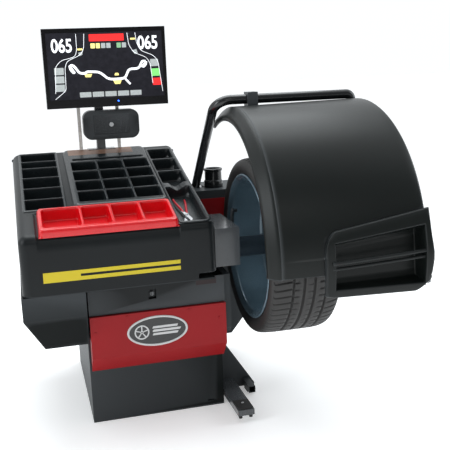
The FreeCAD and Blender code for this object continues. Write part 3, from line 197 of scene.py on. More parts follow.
BODY = material("body_plastic", (0.007, 0.009, 0.010), 0.36, grain=0.3, mottle=0.12, spec=0.25, wear=0.22)
TRAY = material("tray_plastic", (0.012, 0.016, 0.018), 0.27, grain=0.2, mottle=0.14, spec=0.5, wear=0.3)
HOOD = material("hood_plastic", (0.006, 0.008, 0.0075), 0.36, grain=0.2, mottle=0.14,
                mottle_size=3, spec=0.28, wear=0.25)
SLATE = material("slate_paint", (0.005, 0.007, 0.007), 0.45, spec=0.12, grain=0.5, grain_size=500,
                 mottle=0.08, wear=0.2)
RED = material("red_paint", (0.32, 0.006, 0.010), 0.38, grain=0.3, grain_size=600, mottle=0.07, spec=0.2,
               wear=0.2, wear_colour=(0.4, 0.03, 0.03))
RED_GLOSS = material("red_plastic", (0.74, 0.002, 0.008), 0.26, coat=0.35, grain=0.04, mottle=0.06)
YELLOW = material("yellow_trim", (0.70, 0.55, 0.008), 0.38, grain=0.05, mottle=0.05)
BLACK = material("black_enamel", (0.006, 0.007, 0.008), 0.25, coat=0.3, grain=0.12, mottle=0.1, wear=0.25)
RUBBER = material("black_rubber", (0.009, 0.009, 0.009), 0.6, grain=0.5, mottle=0.15)
DARK_STEEL = material("spindle_paint", (0.045, 0.062, 0.078), 0.30, metal=0.6, grain=0.2, mottle=0.15)
STEEL = material("bare_steel", (0.42, 0.43, 0.44), 0.30, metal=1, grain=0.15, mottle=0.10, brushed=True)
ZINC = material("zinc_steel", (0.58, 0.56, 0.53), 0.36, metal=0.9, grain=0.2, mottle=0.14, mottle_size=40)
CHROME = material("chrome", (0.72, 0.73, 0.75), 0.12, metal=1, grain=0.03, mottle=0.05)
GRIP_RED = material("grip_red", (0.62, 0.008, 0.025), 0.34, coat=0.3, grain=0.1, mottle=0.08)
CAST = material("cast_paint", (0.020, 0.024, 0.026), 0.5, grain=0.8, grain_size=250, mottle=0.15)
RIM = material("rim_paint", (0.12, 0.185, 0.23), 0.26, metal=0.3, coat=0.5, grain=0.08, mottle=0.18,
               mottle_size=4)
TYRE = material("tyre_rubber", (0.022, 0.021, 0.0205), 0.55, grain=0.6, grain_size=400, mottle=0.2,
                mottle_size=14, wear=0.4, wear_colour=(0.10, 0.10, 0.095))
BEZEL = material("monitor_bezel", (0.003, 0.003, 0.004), 0.22, spec=0.25, coat=0.0, grain=0.04, mottle=0.05)
BADGE = material("badge_dark", (0.012, 0.012, 0.013), 0.25, coat=0.3, grain=0.05, mottle=0.06)
PALE = material("pale_print", (0.66, 0.66, 0.66), 0.35, grain=0.05, mottle=0.04)
TAN = material("tan_sheet", (0.20, 0.105, 0.065), 0.45, grain=0.3, mottle=0.15)
BOARD = material("board_green", (0.02, 0.14, 0.06), 0.4, grain=0.2, mottle=0.15)
LIGHT_GREY = material("light_grey", (0.30, 0.31, 0.31), 0.4, grain=0.15, mottle=0.06)
# Painted shade: the red panel's colour as it looks in shadow, for the thin sheet that stands in for the dark
# slot on the front plate.
SLOT_SHADE = material("reddish_shadow", (0.020, 0.006, 0.007), 0.5, grain=0.2, mottle=0.1)

SCREEN = material("screen_dark", (0.012, 0.012, 0.016), 0.38, grain=0.02, mottle=0.45,
                  mottle_size=60, spec=0.12, glow=0.8)
S_WHITE = material("screen_white", (0.90, 0.93, 0.97), 0.3, grain=0.0, mottle=0.02, glow=0.9)
S_RED = material("screen_red", (0.80, 0.02, 0.02), 0.3, grain=0.0, mottle=0.05, glow=0.9)
S_YELLOW = material("screen_yellow", (0.85, 0.72, 0.25), 0.3, grain=0.0, mottle=0.05, glow=0.9)
S_GREEN = material("screen_green", (0.18, 0.62, 0.16), 0.3, grain=0.0, mottle=0.05, glow=0.9)
S_GREY = material("screen_grey", (0.34, 0.37, 0.37), 0.3, grain=0.0, mottle=0.2, mottle_size=200, glow=0.8)
S_BLUE = material("led_blue", (0.02, 0.12, 1.0), 0.3, grain=0.0, mottle=0.05, glow=6.0)

BY_SLOT = {
    "slate_paint": SLATE, "red_paint": RED, "black_plastic": BODY, "hood_plastic": HOOD,
    "red_plastic": RED_GLOSS, "badge_plastic": BADGE, "yellow_trim": YELLOW, "bare_steel": STEEL,
    "zinc_steel": ZINC, "plier_chrome": CHROME, "black_tube": BLACK, "cast_housing": CAST, "alloy": RIM,
    "tyre_rubber": TYRE, "rubber": RUBBER, "screen_glass": SCREEN, "board_green": BOARD,
    "grey_plastic": LIGHT_GREY}
BY_NODE = {"monitor_case": BEZEL, "monitor_bezel": BEZEL, "control_pod": BODY, "pod_knob": STEEL,
           "mains_inlet": BLACK, "panel_screws": RED, "latch_key": BLACK, "gauge_finger": BODY,
           "spindle_shaft": DARK_STEEL, "brake_pedal": BLACK, "gauge_block": BLACK, "quick_nut": BLACK,
           "lower_left_cover": SLATE, "lower_right_cover": SLATE}


# ------------------------------------------------------------------ mesh helpers
def link(name, data, finish, body, stands_for=()):
    item = bpy.data.objects.new(name, data)
    bpy.context.collection.objects.link(item)
    for one in (finish if isinstance(finish, (list, tuple)) else [finish]):
        data.materials.append(one)
    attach(item, body)
    if stands_for:
        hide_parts(*stands_for)
    return item


def mesh(name, points, faces, smooth=True):
    data = bpy.data.meshes.new(name)
    data.from_pydata([tuple(p) for p in points], [], faces)
    data.validate()
    for face in data.polygons:
        face.use_smooth = smooth
    return data


def soften(item, width, segments=3, angle=32):
    """Rounds the hard edges, and keeps flat faces flat."""
    bevel = item.modifiers.new("rounding", "BEVEL")
    bevel.width = width
    bevel.segments = segments
    bevel.limit_method = "ANGLE"
    bevel.angle_limit = math.radians(angle)
    bevel.harden_normals = True
    for face in item.data.polygons:
        face.use_smooth = True
    return item


def steps(low, high, step, marks=(), near=(0.0,)):
    """Grid lines from low to high, with extra lines at each mark and at the given offsets from it."""
    lines = {round(low, 5), round(high, 5)}
    count = max(1, round((high - low) / step))
    lines |= {round(low + (high - low) * i / count, 5) for i in range(count + 1)}
    close = set()
    for mark in marks:
        for offset in near:
            for sign in (-1, 1):
                at = round(mark + sign * offset, 5)
                if low <= at <= high:
                    close.add(at)
    gap = step * 0.2
    ends = (round(low, 5), round(high, 5))
    merged = sorted({x for x in lines if all(abs(x - c) > gap for c in close) or x in ends} | close)
    out = [merged[0]]
    for x in merged[1:]:
        if x - out[-1] > 0.05:
            out.append(x)
    return out


def grid(us, vs, point, keep=None, flip=False):
    """A sheet of faces over two sets of lines; keep(u, v) can leave cells out."""
    points = [point(u, v) for u in us for v in vs]
    wide = len(vs)
    faces = []
    for i in range(len(us) - 1):
        for j in range(wide - 1):
            if keep and not keep((us[i] + us[i + 1]) / 2, (vs[j] + vs[j + 1]) / 2):
                continue
            quad = (i * wide + j, (i + 1) * wide + j, (i + 1) * wide + j + 1, i * wide + j + 1)
            faces.append(quad[::-1] if flip else quad)
    return points, faces


def smooth_step(t):
    t = max(0.0, min(1.0, t))
    return t * t * (3 - 2 * t)


def round_step(t):
    """A rounded shoulder that turns quickly at its top and softly at its foot."""
    t = max(0.0, min(1.0, t))
    return math.sqrt(1 - (1 - t) ** 2)


def box_distance(x, y, x0, x1, y0, y1, radius):
    """How far a point is inside a rounded rectangle, negative outside."""
    cx, cy = (x0 + x1) / 2, (y0 + y1) / 2
    qx = abs(x - cx) - (x1 - x0) / 2 + radius
    qy = abs(y - cy) - (y1 - y0) / 2 + radius
    outside = math.hypot(max(qx, 0), max(qy, 0))
    return radius - outside - min(max(qx, qy), 0)


def on_tray(x, s, h):
    """A point given in the tilted tray plane, in millimetres, as a place in metres."""
    return Vector((x * MM, TRAY_Y + (s * math.cos(TILT) - h * math.sin(TILT)) * MM,
                   TRAY_Z + (s * math.sin(TILT) + h * math.cos(TILT)) * MM))


def round_x(x, radius, angle, y=HOOD_Y, z=HOOD_Z):
    """A point at a radius about an X axis; the angle turns from the top towards the front."""
    a = math.radians(angle)
    return Vector((x * MM, y - math.sin(a) * radius * MM, z + math.cos(a) * radius * MM))


def lathe(profile, angles, y, z, closed=False):
    """Turns an (x, radius) profile about an X axis through (y, z)."""
    points = [round_x(x, r, a, y, z) for a in angles for x, r in profile]
    wide = len(profile)
    faces = []
    last = len(angles) if closed else len(angles) - 1
    for i in range(last):
        following = (i + 1) % len(angles)
        for j in range(wide - 1):
            faces.append((i * wide + j, i * wide + j + 1, following * wide + j + 1, following * wide + j))
    return points, faces


def ring_faces(count, wide):
    """Faces all the way round, between neighbouring rows of points."""
    faces = []
    for k in range(count):
        n = (k + 1) % count
        faces += [(k * wide + j, n * wide + j, n * wide + j + 1, k * wide + j + 1) for j in range(wide - 1)]
    return faces


def rounded(points, radius, count=5):
    """An open polyline in the plane with its inner corners rounded."""
    out = [points[0]]
    for before, at, after in zip(points, points[1:], points[2:]):
        a, b, c = Vector(before), Vector(at), Vector(after)
        reach = min(radius, (a - b).length / 2, (c - b).length / 2)
        start = b + (a - b).normalized() * reach
        end = b + (c - b).normalized() * reach
        for i in range(count + 1):
            t = i / count
            out.append(tuple(start * (1 - t) ** 2 + b * 2 * t * (1 - t) + end * t * t))
    out.append(points[-1])
    return out


def even_curve(points, radius, count=5):
    """The same for a closed outline."""
    ring = list(points)
    out = []
    size = len(ring)
    for i in range(size):
        a, b, c = Vector(ring[i - 1]), Vector(ring[i]), Vector(ring[(i + 1) % size])
        reach = min(radius, (a - b).length / 2.05, (c - b).length / 2.05)
        start = b + (a - b).normalized() * reach
        end = b + (c - b).normalized() * reach
        for k in range(count + 1):
            t = k / count
            out.append(tuple(start * (1 - t) ** 2 + b * 2 * t * (1 - t) + end * t * t))
    return out


def prism(outline_points, place, low, high):
    """A flat-sided solid between two heights; place(u, v, h) puts a point in the room."""
    size = len(outline_points)
    points = [place(u, v, low) for u, v in outline_points] + [place(u, v, high) for u, v in outline_points]
    faces = [tuple(range(size))[::-1], tuple(range(size, 2 * size))]
    faces += [(i, (i + 1) % size, size + (i + 1) % size, size + i) for i in range(size)]
    return points, faces


def join(parts):
    points, faces = [], []
    for more_points, more_faces in parts:
        start = len(points)
        points += more_points
        faces += [tuple(start + i for i in face) for face in more_faces]
    return points, faces


def tube(path, radius, sides=14, flat=1.0, taper=None):
    """A round bar along a path of points, with domed ends."""
    path = [Vector(p) for p in path]
    points, faces = [], []
    rings = []
    count = len(path)
    side = None
    for i, at in enumerate(path):
        way = (path[min(i + 1, count - 1)] - path[max(i - 1, 0)]).normalized()
        if side is None:
            side = way.orthogonal().normalized()
        side = (side - way * side.dot(way)).normalized()
        over = way.cross(side)
        size = radius * (taper(i / (count - 1)) if taper else 1)
        rings.append((at, side, over, size))
    chain = []
    for k in (0.15, 0.55, 0.85):
        at, side, over, size = rings[0]
        way = (path[1] - path[0]).normalized()
        reach, narrow = 0.6 * math.cos(k * math.pi / 2), math.sin(k * math.pi / 2)
        chain.append((at - way * size * reach, side, over, size * narrow))
    chain += rings
    for k in (0.85, 0.55, 0.15):
        at, side, over, size = rings[-1]
        way = (path[-1] - path[-2]).normalized()
        reach, narrow = 0.6 * math.cos(k * math.pi / 2), math.sin(k * math.pi / 2)
        chain.append((at + way * size * reach, side, over, size * narrow))
    for at, side, over, size in chain:
        for k in range(sides):
            a = 2 * math.pi * k / sides
            points.append(at + side * math.cos(a) * size + over * math.sin(a) * size * flat)
    for i in range(len(chain) - 1):
        for k in range(sides):
            n = (k + 1) % sides
            faces.append((i * sides + k, i * sides + n, (i + 1) * sides + n, (i + 1) * sides + k))
    faces.append(tuple(range(sides))[::-1])
    faces.append(tuple(range((len(chain) - 1) * sides, len(chain) * sides)))
    return points, faces


# ------------------------------------------------------------------ carried-over CAD nodes
def dress_frame():
    """Every CAD node gets its finish, and the hard-edged ones get small real-world roundings."""
    slots = {part["node"]: part["material_slot"] for part in frame["record"]["subparts"]}
    rounding = {
        "base_cabinet": 0.0025, "side_flare": 0.0025, "front_panel": 0.003, "upper_front_plate": 0.002,
        "lower_left_cover": 0.007, "lower_right_cover": 0.005, "rear_housing": 0.004,
        "housing_red_panel": 0.001, "gauge_block": 0.006, "brake_pedal": 0.0018, "pedal_rubbers": 0.0015,
        "hood_clamp": 0.003, "monitor_case": 0.004, "monitor_bezel": 0.0018, "monitor_post": 0.001,
        "monitor_uprights": 0.0008, "monitor_mount": 0.001, "hood_hinge": 0.001, "quick_nut": 0.002,
        "gauge_finger": 0.0015, "latch_key": 0.0005, "mains_inlet": 0.001, "power_rocker": 0.0008,
        "control_pod": 0.004, "pod_knob": 0.0012, "panel_screws": 0.0006, "spindle_shaft": 0.001}
    for name, item in frame["nodes"].items():
        finish = BY_NODE.get(name) or BY_SLOT[slots[name]]
        item.data.materials.clear()
        item.data.materials.append(finish)
        if name in rounding:
            soften(item, rounding[name])


# ------------------------------------------------------------------ body shell
def body_path():
    """The shell's side outline in (y, z), from the foot of the front over the top to the foot of the back,
    and for each point its distance s up the tray plane."""
    front, back, foot = -414.0, 352.0, 534.0
    slope = math.tan(TILT)

    def top(y):
        return 745 + (y + 397) * slope
    path = []
    for z in (534, 536, 545, 558, 561, 575, 590, 610, 630, 650, 668, 684, 696):
        path.append(((front, z), None))
    radius = 34.0
    reach = radius * math.tan(math.radians(37.5))
    centre = Vector((front + radius, top(front) - reach))
    for k in range(13):
        a = math.radians(180 - 75 * k / 12)
        at = centre + Vector((math.cos(a), math.sin(a))) * radius
        path.append(((at.x, at.y), None))
    start_s = (centre.x + math.cos(math.radians(105)) * radius + 397) / math.cos(TILT)
    end_s = (back - 26 + 397) / math.cos(TILT)
    marks = [2, 160, 174, 178, 200, 640, 718, 748]
    for s in steps(start_s + 3, end_s, 18, marks, (0.0, 2.0, 4.0)):
        path.append(((-397 + s * math.cos(TILT), 745 + s * math.sin(TILT)), s))
    last = Vector(path[-1][0])
    for k in range(1, 9):
        a = math.radians(105 - 105 * k / 8)
        at = Vector((back - 22, last.y - 22 * math.cos(TILT))) + Vector((math.cos(a), math.sin(a))) * 22
        path.append(((at.x, at.y), None))
    z = path[-1][0][1]
    for k in range(1, 9):
        path.append(((back, z + (foot - z) * k / 8), None))
    return path


def make_body():
    path = body_path()
    count = len(path)
    normals = []
    for i in range(count):
        a = Vector(path[max(i - 1, 0)][0])
        b = Vector(path[min(i + 1, count - 1)][0])
        way = (b - a).normalized()
        normals.append(Vector((-way.y, way.x)))
    left, right, edge = -461.0, 222.0, 30.0
    wells = [((-430, -284), (192, 748)), ((-240, 85), (200, 640)), ((-378, 80), (2, 160)),
             ((97, 203), (-2, 718))]
    marks = [-430, -284, -240, 85, -378, 80, 97, 203, -400, 92, 148]
    xs = [left + edge * (1 - math.cos(math.radians(90 * k / 8))) for k in range(9)]
    xs += [x for x in steps(left + edge + 0.3, right - edge - 0.3, 26, marks, (0.0, 2.0, 4.0))]
    xs += [right - edge * (1 - math.cos(math.radians(90 * k / 8))) for k in range(8, -1, -1)]

    def inset(x):
        d = min(x - left, right - x)
        if d >= edge:
            return 0.0
        return edge - math.sqrt(max(0.0, edge ** 2 - (edge - d) ** 2))

    def relief(x, i):
        """The shallow recess that the red tray sits in, which runs out over the front edge."""
        (y, z), s = path[i]
        if s is None and not (y < -300 and z > 700):
            return 0.0
        at = s if s is not None else -10
        side = smooth_step((x + 404) / 9) * smooth_step((94 - x) / 5)
        up = smooth_step((176 - at) / 6)
        fade = 1.0 if s is not None else smooth_step((z - 700) / 22)
        return -5.0 * side * up * fade

    def point(x, i):
        y, z = path[i][0]
        n = normals[i]
        d = relief(x, i) - inset(x)
        py, pz = y + n.x * d, z + n.y * d
        foot = 534.0 if not (x > 150 and y < -300) else 558.0
        return Vector((x * MM, py * MM, max(pz, foot) * MM))
    points, faces = [], []
    for x in xs:
        points += [point(x, i) for i in range(count)]
    for k in range(len(xs) - 1):
        middle = (xs[k] + xs[k + 1]) / 2
        for i in range(count - 1):
            s0, s1 = path[i][1], path[i + 1][1]
            if s0 is not None and s1 is not None:
                s = (s0 + s1) / 2
                if any(w[0][0] + 3 < middle < w[0][1] - 3 and w[1][0] + 3 < s < w[1][1] - 3 for w in wells):
                    continue
            faces.append((k * count + i, (k + 1) * count + i, (k + 1) * count + i + 1, k * count + i + 1))
    faces.append(tuple(range(count)))
    faces.append(tuple((len(xs) - 1) * count + i for i in range(count))[::-1])
    data = mesh("body_skin", points, faces)
    tidy = bmesh.new()
    tidy.from_mesh(data)
    bmesh.ops.remove_doubles(tidy, verts=tidy.verts, dist=0.00005)
    bmesh.ops.recalc_face_normals(tidy, faces=tidy.faces)
    tidy.to_mesh(data)
    tidy.free()
    item = link("body_skin", data, BODY, "frame", ["body_shell"])
    thick = item.modifiers.new("wall", "SOLIDIFY")
    thick.thickness = 0.004
    thick.offset = -1
    return item


# ------------------------------------------------------------------ trays
def tray_sheet(name, lip, height, corner, cells, depth, finish, body, node, wall=5.0, edge=6.0,
               skirt=-1.0, extra=None, cell_corner=7.0, step=14.0, tan_from=None):
    """A moulded tray: rounded rim, open pockets with drafted walls and round corners."""
    (x0, x1), (s0, s1) = lip

    def edges(low, high, spans):
        marks = {v for a, b in spans for v in (a + wall / 2, b - wall / 2)}
        return sorted(marks | {low + edge / 2, high - edge / 2})
    marks_x = edges(x0, x1, [across for across, up in cells])
    marks_s = edges(s0, s1, [up for across, up in cells])
    near = (0.0, wall * 0.17, wall * 0.34, wall * 0.5, wall * 0.75)
    us = steps(x0, x1, step, marks_x, near)
    vs = steps(s0, s1, step, marks_s, near)

    def surface(x, s):
        rim = box_distance(x, s, x0, x1, s0, s1, corner)
        h = skirt + (height - skirt) * round_step(rim / edge)
        for (a, b), (c, d) in cells:
            if a - 1 < x < b + 1 and c - 1 < s < d + 1:
                inner = box_distance(x, s, a, b, c, d, cell_corner)
                h -= (height + depth) * smooth_step(inner / wall)
        if extra:
            h += extra(x, s)
        return h
    points, faces = grid(us, vs, lambda x, s: on_tray(x, s, surface(x, s)))
    data = mesh(name, points, faces)
    finishes = [finish]
    if tan_from is not None:
        finishes.append(TAN)
    item = link(name, data, finishes, body, [node])
    if tan_from is not None:
        for face in data.polygons:
            c = face.center
            s = ((c.y - TRAY_Y) * math.cos(TILT) + (c.z - TRAY_Z) * math.sin(TILT)) / MM
            face.material_index = 1 if s > tan_from and c.x > x0 * MM + 0.02 and c.x < x1 * MM - 0.06 else 0
    return item


def spaced(low, high, count, wall):
    width = (high - low - wall * (count - 1)) / count
    return [(low + i * (width + wall), low + i * (width + wall) + width) for i in range(count)]


def make_trays():
    tray_sheet("left_tray_skin", ((-437, -277), (185, 755)), 3.5, 10,
               [((-428, -286), row) for row in ((195, 284), (286, 386), (388, 488), (490, 588), (590, 658),
                                                (660, 745))], 42, TRAY, "frame",
               "left_weight_tray", wall=4.5)
    cells = [(column, row) for column in spaced(-233, 79, 3, 5) for row in spaced(211, 599, 4, 4)]
    cells.append(((-225, 70), (611, 635)))

    def step_down(x, s):
        """The raised panel's border drops in two steps at its left side and falls away at its foot."""
        return -3.5 * (1 - smooth_step((x + 246) / 3.5)) - 2.0 * smooth_step((189 - s) / 6)
    tray_sheet("centre_tray_skin", ((-257, 90.5), (178, 742)), 14, 26, cells, 42, TRAY, "frame",
               "centre_weight_tray", wall=5, edge=9, extra=step_down, cell_corner=9,
               tan_from=668)

    def scoop(x, s):
        """The divider behind the tool well dips in the middle."""
        over = smooth_step((s - 302) / 6) * smooth_step((350 - s) / 6)
        return -20 * over * smooth_step(1 - abs(x - 150) / 34)
    tray_sheet("tool_tray_skin", ((91.5, 209), (-7, 724)), 3.5, 22,
               [((100, 200), (1, 308)), ((100, 200), (344, 464)), ((100, 200), (468, 594)),
                ((100, 200), (598, 710))], 42, TRAY, "frame", "right_tool_tray",
               wall=4.5, extra=scoop, cell_corner=12)
    tray_sheet("red_tray_skin", ((-391, 91.5), (-15, 171)), 21.5, 17,
               [((-375, -242), (7, 156)), ((-236, -137), (7, 156)), ((-130, -31), (7, 156)),
                ((-25, 77), (7, 156))], 24, RED_GLOSS, "red_tray", "red_weight_tray",
               wall=8, edge=9, skirt=-6, cell_corner=13, step=9)


def make_stripe():
    """Plain yellow tape: one band at the left that splits into two, with a dark line between."""
    y0, y1 = -0.4148, -0.4141

    def place(u, v, h):
        return Vector((u * MM, h, v * MM))
    outline_points = [(-388, 580), (87, 580), (87, 593.5), (-262, 593.5), (-262, 602.5), (87, 602.5),
                      (87, 616), (-388, 616)]
    points, faces = prism(outline_points, place, y1, y0)
    data = mesh("stripe_tape", points, faces, smooth=False)
    item = link("stripe_tape", data, YELLOW, "frame", ["trim_stripe"])
    return item


def make_badge():
    """A blank oval with a pale rim, and a plain wheel sign in place of any lettering."""
    cx, cz, y = -2.0, 350.0, -375.2

    def ring(a, b, c, d, depth):
        points = []
        count = 72
        section = ((a, b, 0.2), (a + 0.4, b + 0.4, depth), (c - 0.4, d - 0.4, depth), (c, d, 0.2))
        for k in range(count):
            t = 2 * math.pi * k / count
            for ra, rb, dy in section:
                points.append(Vector((cx + ra * math.cos(t), y - dy, cz + rb * math.sin(t))) * MM)
        return points, ring_faces(count, len(section))
    points, faces = ring(103.5, 49, 111.5, 57, 1.8)
    link("badge_rim", mesh("badge_rim", points, faces), PALE, "frame", [])
    count = 72
    points = [Vector((cx * MM, (y - 1.2) * MM, cz * MM))]
    for radius in (0.5, 1.0):
        for k in range(count):
            t = 2 * math.pi * k / count
            points.append(Vector(((cx + 104 * radius * math.cos(t)) * MM, (y - 1.2 + 0.4 * (radius > 0.9)) * MM,
                                  (cz + 49.5 * radius * math.sin(t)) * MM)))
    faces = [(0, 1 + k, 1 + (k + 1) % count) for k in range(count)]
    faces += [(1 + k, 1 + count + k, 1 + count + (k + 1) % count, 1 + (k + 1) % count) for k in range(count)]
    link("badge_face", mesh("badge_face", points, faces), BADGE, "frame", ["badge_plate"])
    parts = []

    def flat(u, v, h):
        return Vector(((cx + u) * MM, (y - h) * MM, (cz + v) * MM))

    def disc(u, v, outer, inner, high, count=36):
        pts, fcs = [], []
        for k in range(count):
            t = 2 * math.pi * k / count
            for r in (inner, outer):
                pts.append(flat(u + r * math.cos(t), v + r * math.sin(t), high))
        for k in range(count):
            n = (k + 1) % count
            fcs.append((2 * k, 2 * k + 1, 2 * n + 1, 2 * n))
        return pts, fcs
    parts.append(disc(-58, 0, 27, 22, 2.0))
    parts.append(disc(-58, 0, 6, 2.5, 2.0))
    for k in range(5):
        t = math.radians(90 + 72 * k)
        way = Vector((math.cos(t), math.sin(t)))
        over = Vector((-way.y, way.x))
        base = Vector((-58, 0))
        corners = [base + way * 5 + over * 1.7, base + way * 5 - over * 1.7, base + way * 22.5 - over * 2.4,
                   base + way * 22.5 + over * 2.4]
        parts.append(prism([tuple(c) for c in corners], flat, 1.3, 2.0))
    for v, x1 in ((14, 74), (1, 84), (-12, 74)):
        bar = [(-20, v - 4.2), (x1 - 2, v - 4.2), (x1 + 2, v + 4.2), (-16, v + 4.2)]
        parts.append(prism(even_curve(bar, 2), flat, 1.3, 2.0))
    points, faces = join(parts)
    link("badge_sign", mesh("badge_sign", points, faces, smooth=False), PALE, "frame", [])


# ------------------------------------------------------------------ hood
def skin_radius(x, a=90):
    """The cone's radius, which stays nearly even along the top so that the hood's crown is level."""
    front = 495 + 30 * (x - 350) / 508
    return front + (512 + 8 * (x - 350) / 508 - front) * (1 - smooth_step((a - 12) / 62))


def make_hood_skin():
    angles = steps(-24, 92, 1.6, (85.4, 91.2), (0.0, 0.3, 0.6, 0.9))
    profile = [(350, 495)] + [(x, skin_radius(x)) for x in range(362, 846, 22)]
    profile += [(848, 524.0), (852, 523.0), (855.5, 520.5), (857.5, 516), (858, 509), (858, 492)]

    def radius(x, r, a):
        near = smooth_step((x - 372) / 60)
        return r + skin_radius(x, a) - skin_radius(x) - near * 3.0 * smooth_step((a - 85.2) / 0.5)
    points = [round_x(x, radius(x, r, a), a) for a in angles for x, r in profile]
    wide = len(profile)
    faces = []
    for i in range(len(angles) - 1):
        a = (angles[i] + angles[i + 1]) / 2
        for j in range(wide - 1):
            x = (profile[j][0] + profile[j + 1][0]) / 2
            if 508 < x < 856 and a > frame_top(x) + 1.6:
                continue
            faces.append((i * wide + j, (i + 1) * wide + j, (i + 1) * wide + j + 1, i * wide + j + 1)[::-1])
    data = mesh("hood_skin", points, faces)
    item = link("hood_skin", data, HOOD, "hood", ["hood_shell"])
    face_outwards(item)
    thicken(item, 0.0045)


def face_outwards(item, centre=(0.5, HOOD_Y, HOOD_Z)):
    """Turns the faces of an open hood piece so that their normals point away from the hood's axis."""
    total = 0.0
    for face in item.data.polygons:
        out = face.center - Vector((face.center.x, centre[1], centre[2]))
        total += out.dot(face.normal) * face.area
    if total < 0:
        item.data.flip_normals()


def thicken(item, thickness):
    wall = item.modifiers.new("wall", "SOLIDIFY")
    wall.thickness = thickness
    wall.offset = -1
    wall.use_even_offset = False
    return wall


def make_hood_lip():
    angles = steps(-24, 92.3, 1.6, (91.0,), (0.0, 0.4, 0.8))
    profile = rounded([(352, 494.2), (347.5, 496), (340, 490.5), (325, 474.5), (316, 465.5), (311.6, 457),
                       (313.5, 447), (319, 442.5), (324, 444.5)], 4, 3)
    points = [round_x(x, r + skin_radius(350, a) - skin_radius(350), a) for a in angles for x, r in profile]
    wide = len(profile)
    faces = [(i * wide + j, (i + 1) * wide + j, (i + 1) * wide + j + 1, i * wide + j + 1)
             for i in range(len(angles) - 1) for j in range(wide - 1)]
    item = link("hood_lip", mesh("hood_lip", points, faces), HOOD, "hood", ["hood_flange"])
    face_outwards(item)
    thicken(item, 0.004)


def frame_top(x):
    """The handle frame's slanting top edge, as an angle, curving down at its left end."""
    at = max(x, 496)
    slope = 75.4 + (70 - 75.4) * (at - 536) / (864 - 536)
    if at < 540:
        slope += 8.5 * (1 - math.sqrt(max(0.0, 1 - ((540 - at) / 44) ** 2)))
    return slope


def frame_foot(x):
    at = max(x, 496)
    return 100.8 - 5.5 * max(0.0, (at - 810) / 61) ** 1.5 - 0.8 * max(0.0, (540 - at) / 44) ** 2


def make_handle():
    """The handle moulding as one sheet: a raised frame round a deep recess."""
    left, right = 496.0, 868.0
    x_marks = [500, 504, 528, 536, 846, 838, 862, 868]
    xs = steps(left, right, 9, x_marks, (0.0, 2.0, 4.0))
    offsets = {"edge_top": (0, 1.5, 3, 5, 8), "window_top": (-5, -2, 0, 2, 4, 6, 9, 13),
               "middle": (0.15, 0.3, 0.45, 0.6, 0.75, 0.87), "window_foot": (-13, -9, -6, -4, -2, 0, 2, 5),
               "edge_foot": (-8, -5, -3, -1.5, 0)}
    lines = [(kind, amount) for kind, amounts in offsets.items() for amount in amounts]

    def window_top(x):
        return 80.0 - 4.0 * (min(max(x, 528), 846) - 528) / 318

    def angle_of(x, line):
        kind, amount = line
        per_mm = math.degrees(1 / 530)
        if kind == "edge_top":
            return frame_top(x) + amount * per_mm
        if kind == "window_top":
            return max(window_top(x) + amount * per_mm, frame_top(x) + 9.5 * per_mm + (amount + 5) * 0.004)
        if kind == "middle":
            return window_top(x) + 1.6 + (WINDOW_FOOT - window_top(x) - 3.2) * amount
        if kind == "window_foot":
            return WINDOW_FOOT + amount * per_mm
        return frame_foot(x) + amount * per_mm

    def radius_at(x, a):
        r = 530.0
        to_top = math.radians(a - frame_top(x)) * r
        to_foot = math.radians(frame_foot(x) - a) * r
        border = min(to_top, to_foot, x - left, right - x)
        raised = 15.0 * round_step(border / 8.0)
        bulge = 16.0 * math.exp(-((a - 87) / 5.5) ** 2) * smooth_step((x - 842) / 24)
        width = min(math.radians(a - window_top(x)) * r, math.radians(WINDOW_FOOT - a) * r, x - 528, 846 - x)
        base = skin_radius(min(x, 858), a) - 2.0
        drop = 0.0
        if width > 0:
            fall = smooth_step(width / 12.0)
            drop = fall * (base + raised - 470.0 - 6 * smooth_step((a - 90) / 7))
        return min(base + raised + bulge - drop, 551.0)
    points = []
    for x in xs:
        for line in lines:
            a = angle_of(x, line)
            points.append(round_x(x, radius_at(x, a), a))
    wide = len(lines)
    faces = [(i * wide + j, (i + 1) * wide + j, (i + 1) * wide + j + 1, i * wide + j + 1)
             for i in range(len(xs) - 1) for j in range(wide - 1)]
    item = link("handle_frame", mesh("handle_frame", points, faces), HOOD, "hood", ["hood_handle"])
    face_outwards(item)
    thicken(item, 0.004)
    parts = []
    for angle, radius, thick in ((86.4, 527, 6.5), (88.6, 521, 6.0)):
        path = []
        for k in range(33):
            x = 520 + (852 - 520) * k / 32
            sag = 5 * smooth_step(abs(x - 686) / 166 * 1.2 - 0.6)
            path.append(round_x(x, radius - sag + 5 * (x - 686) / 166, angle - 0.9 * (x - 686) / 166))
        parts.append(tube(path, thick * MM, 16))
    points, faces = join(parts)
    link("grip_bars", mesh("grip_bars", points, faces), HOOD, "hood", [])


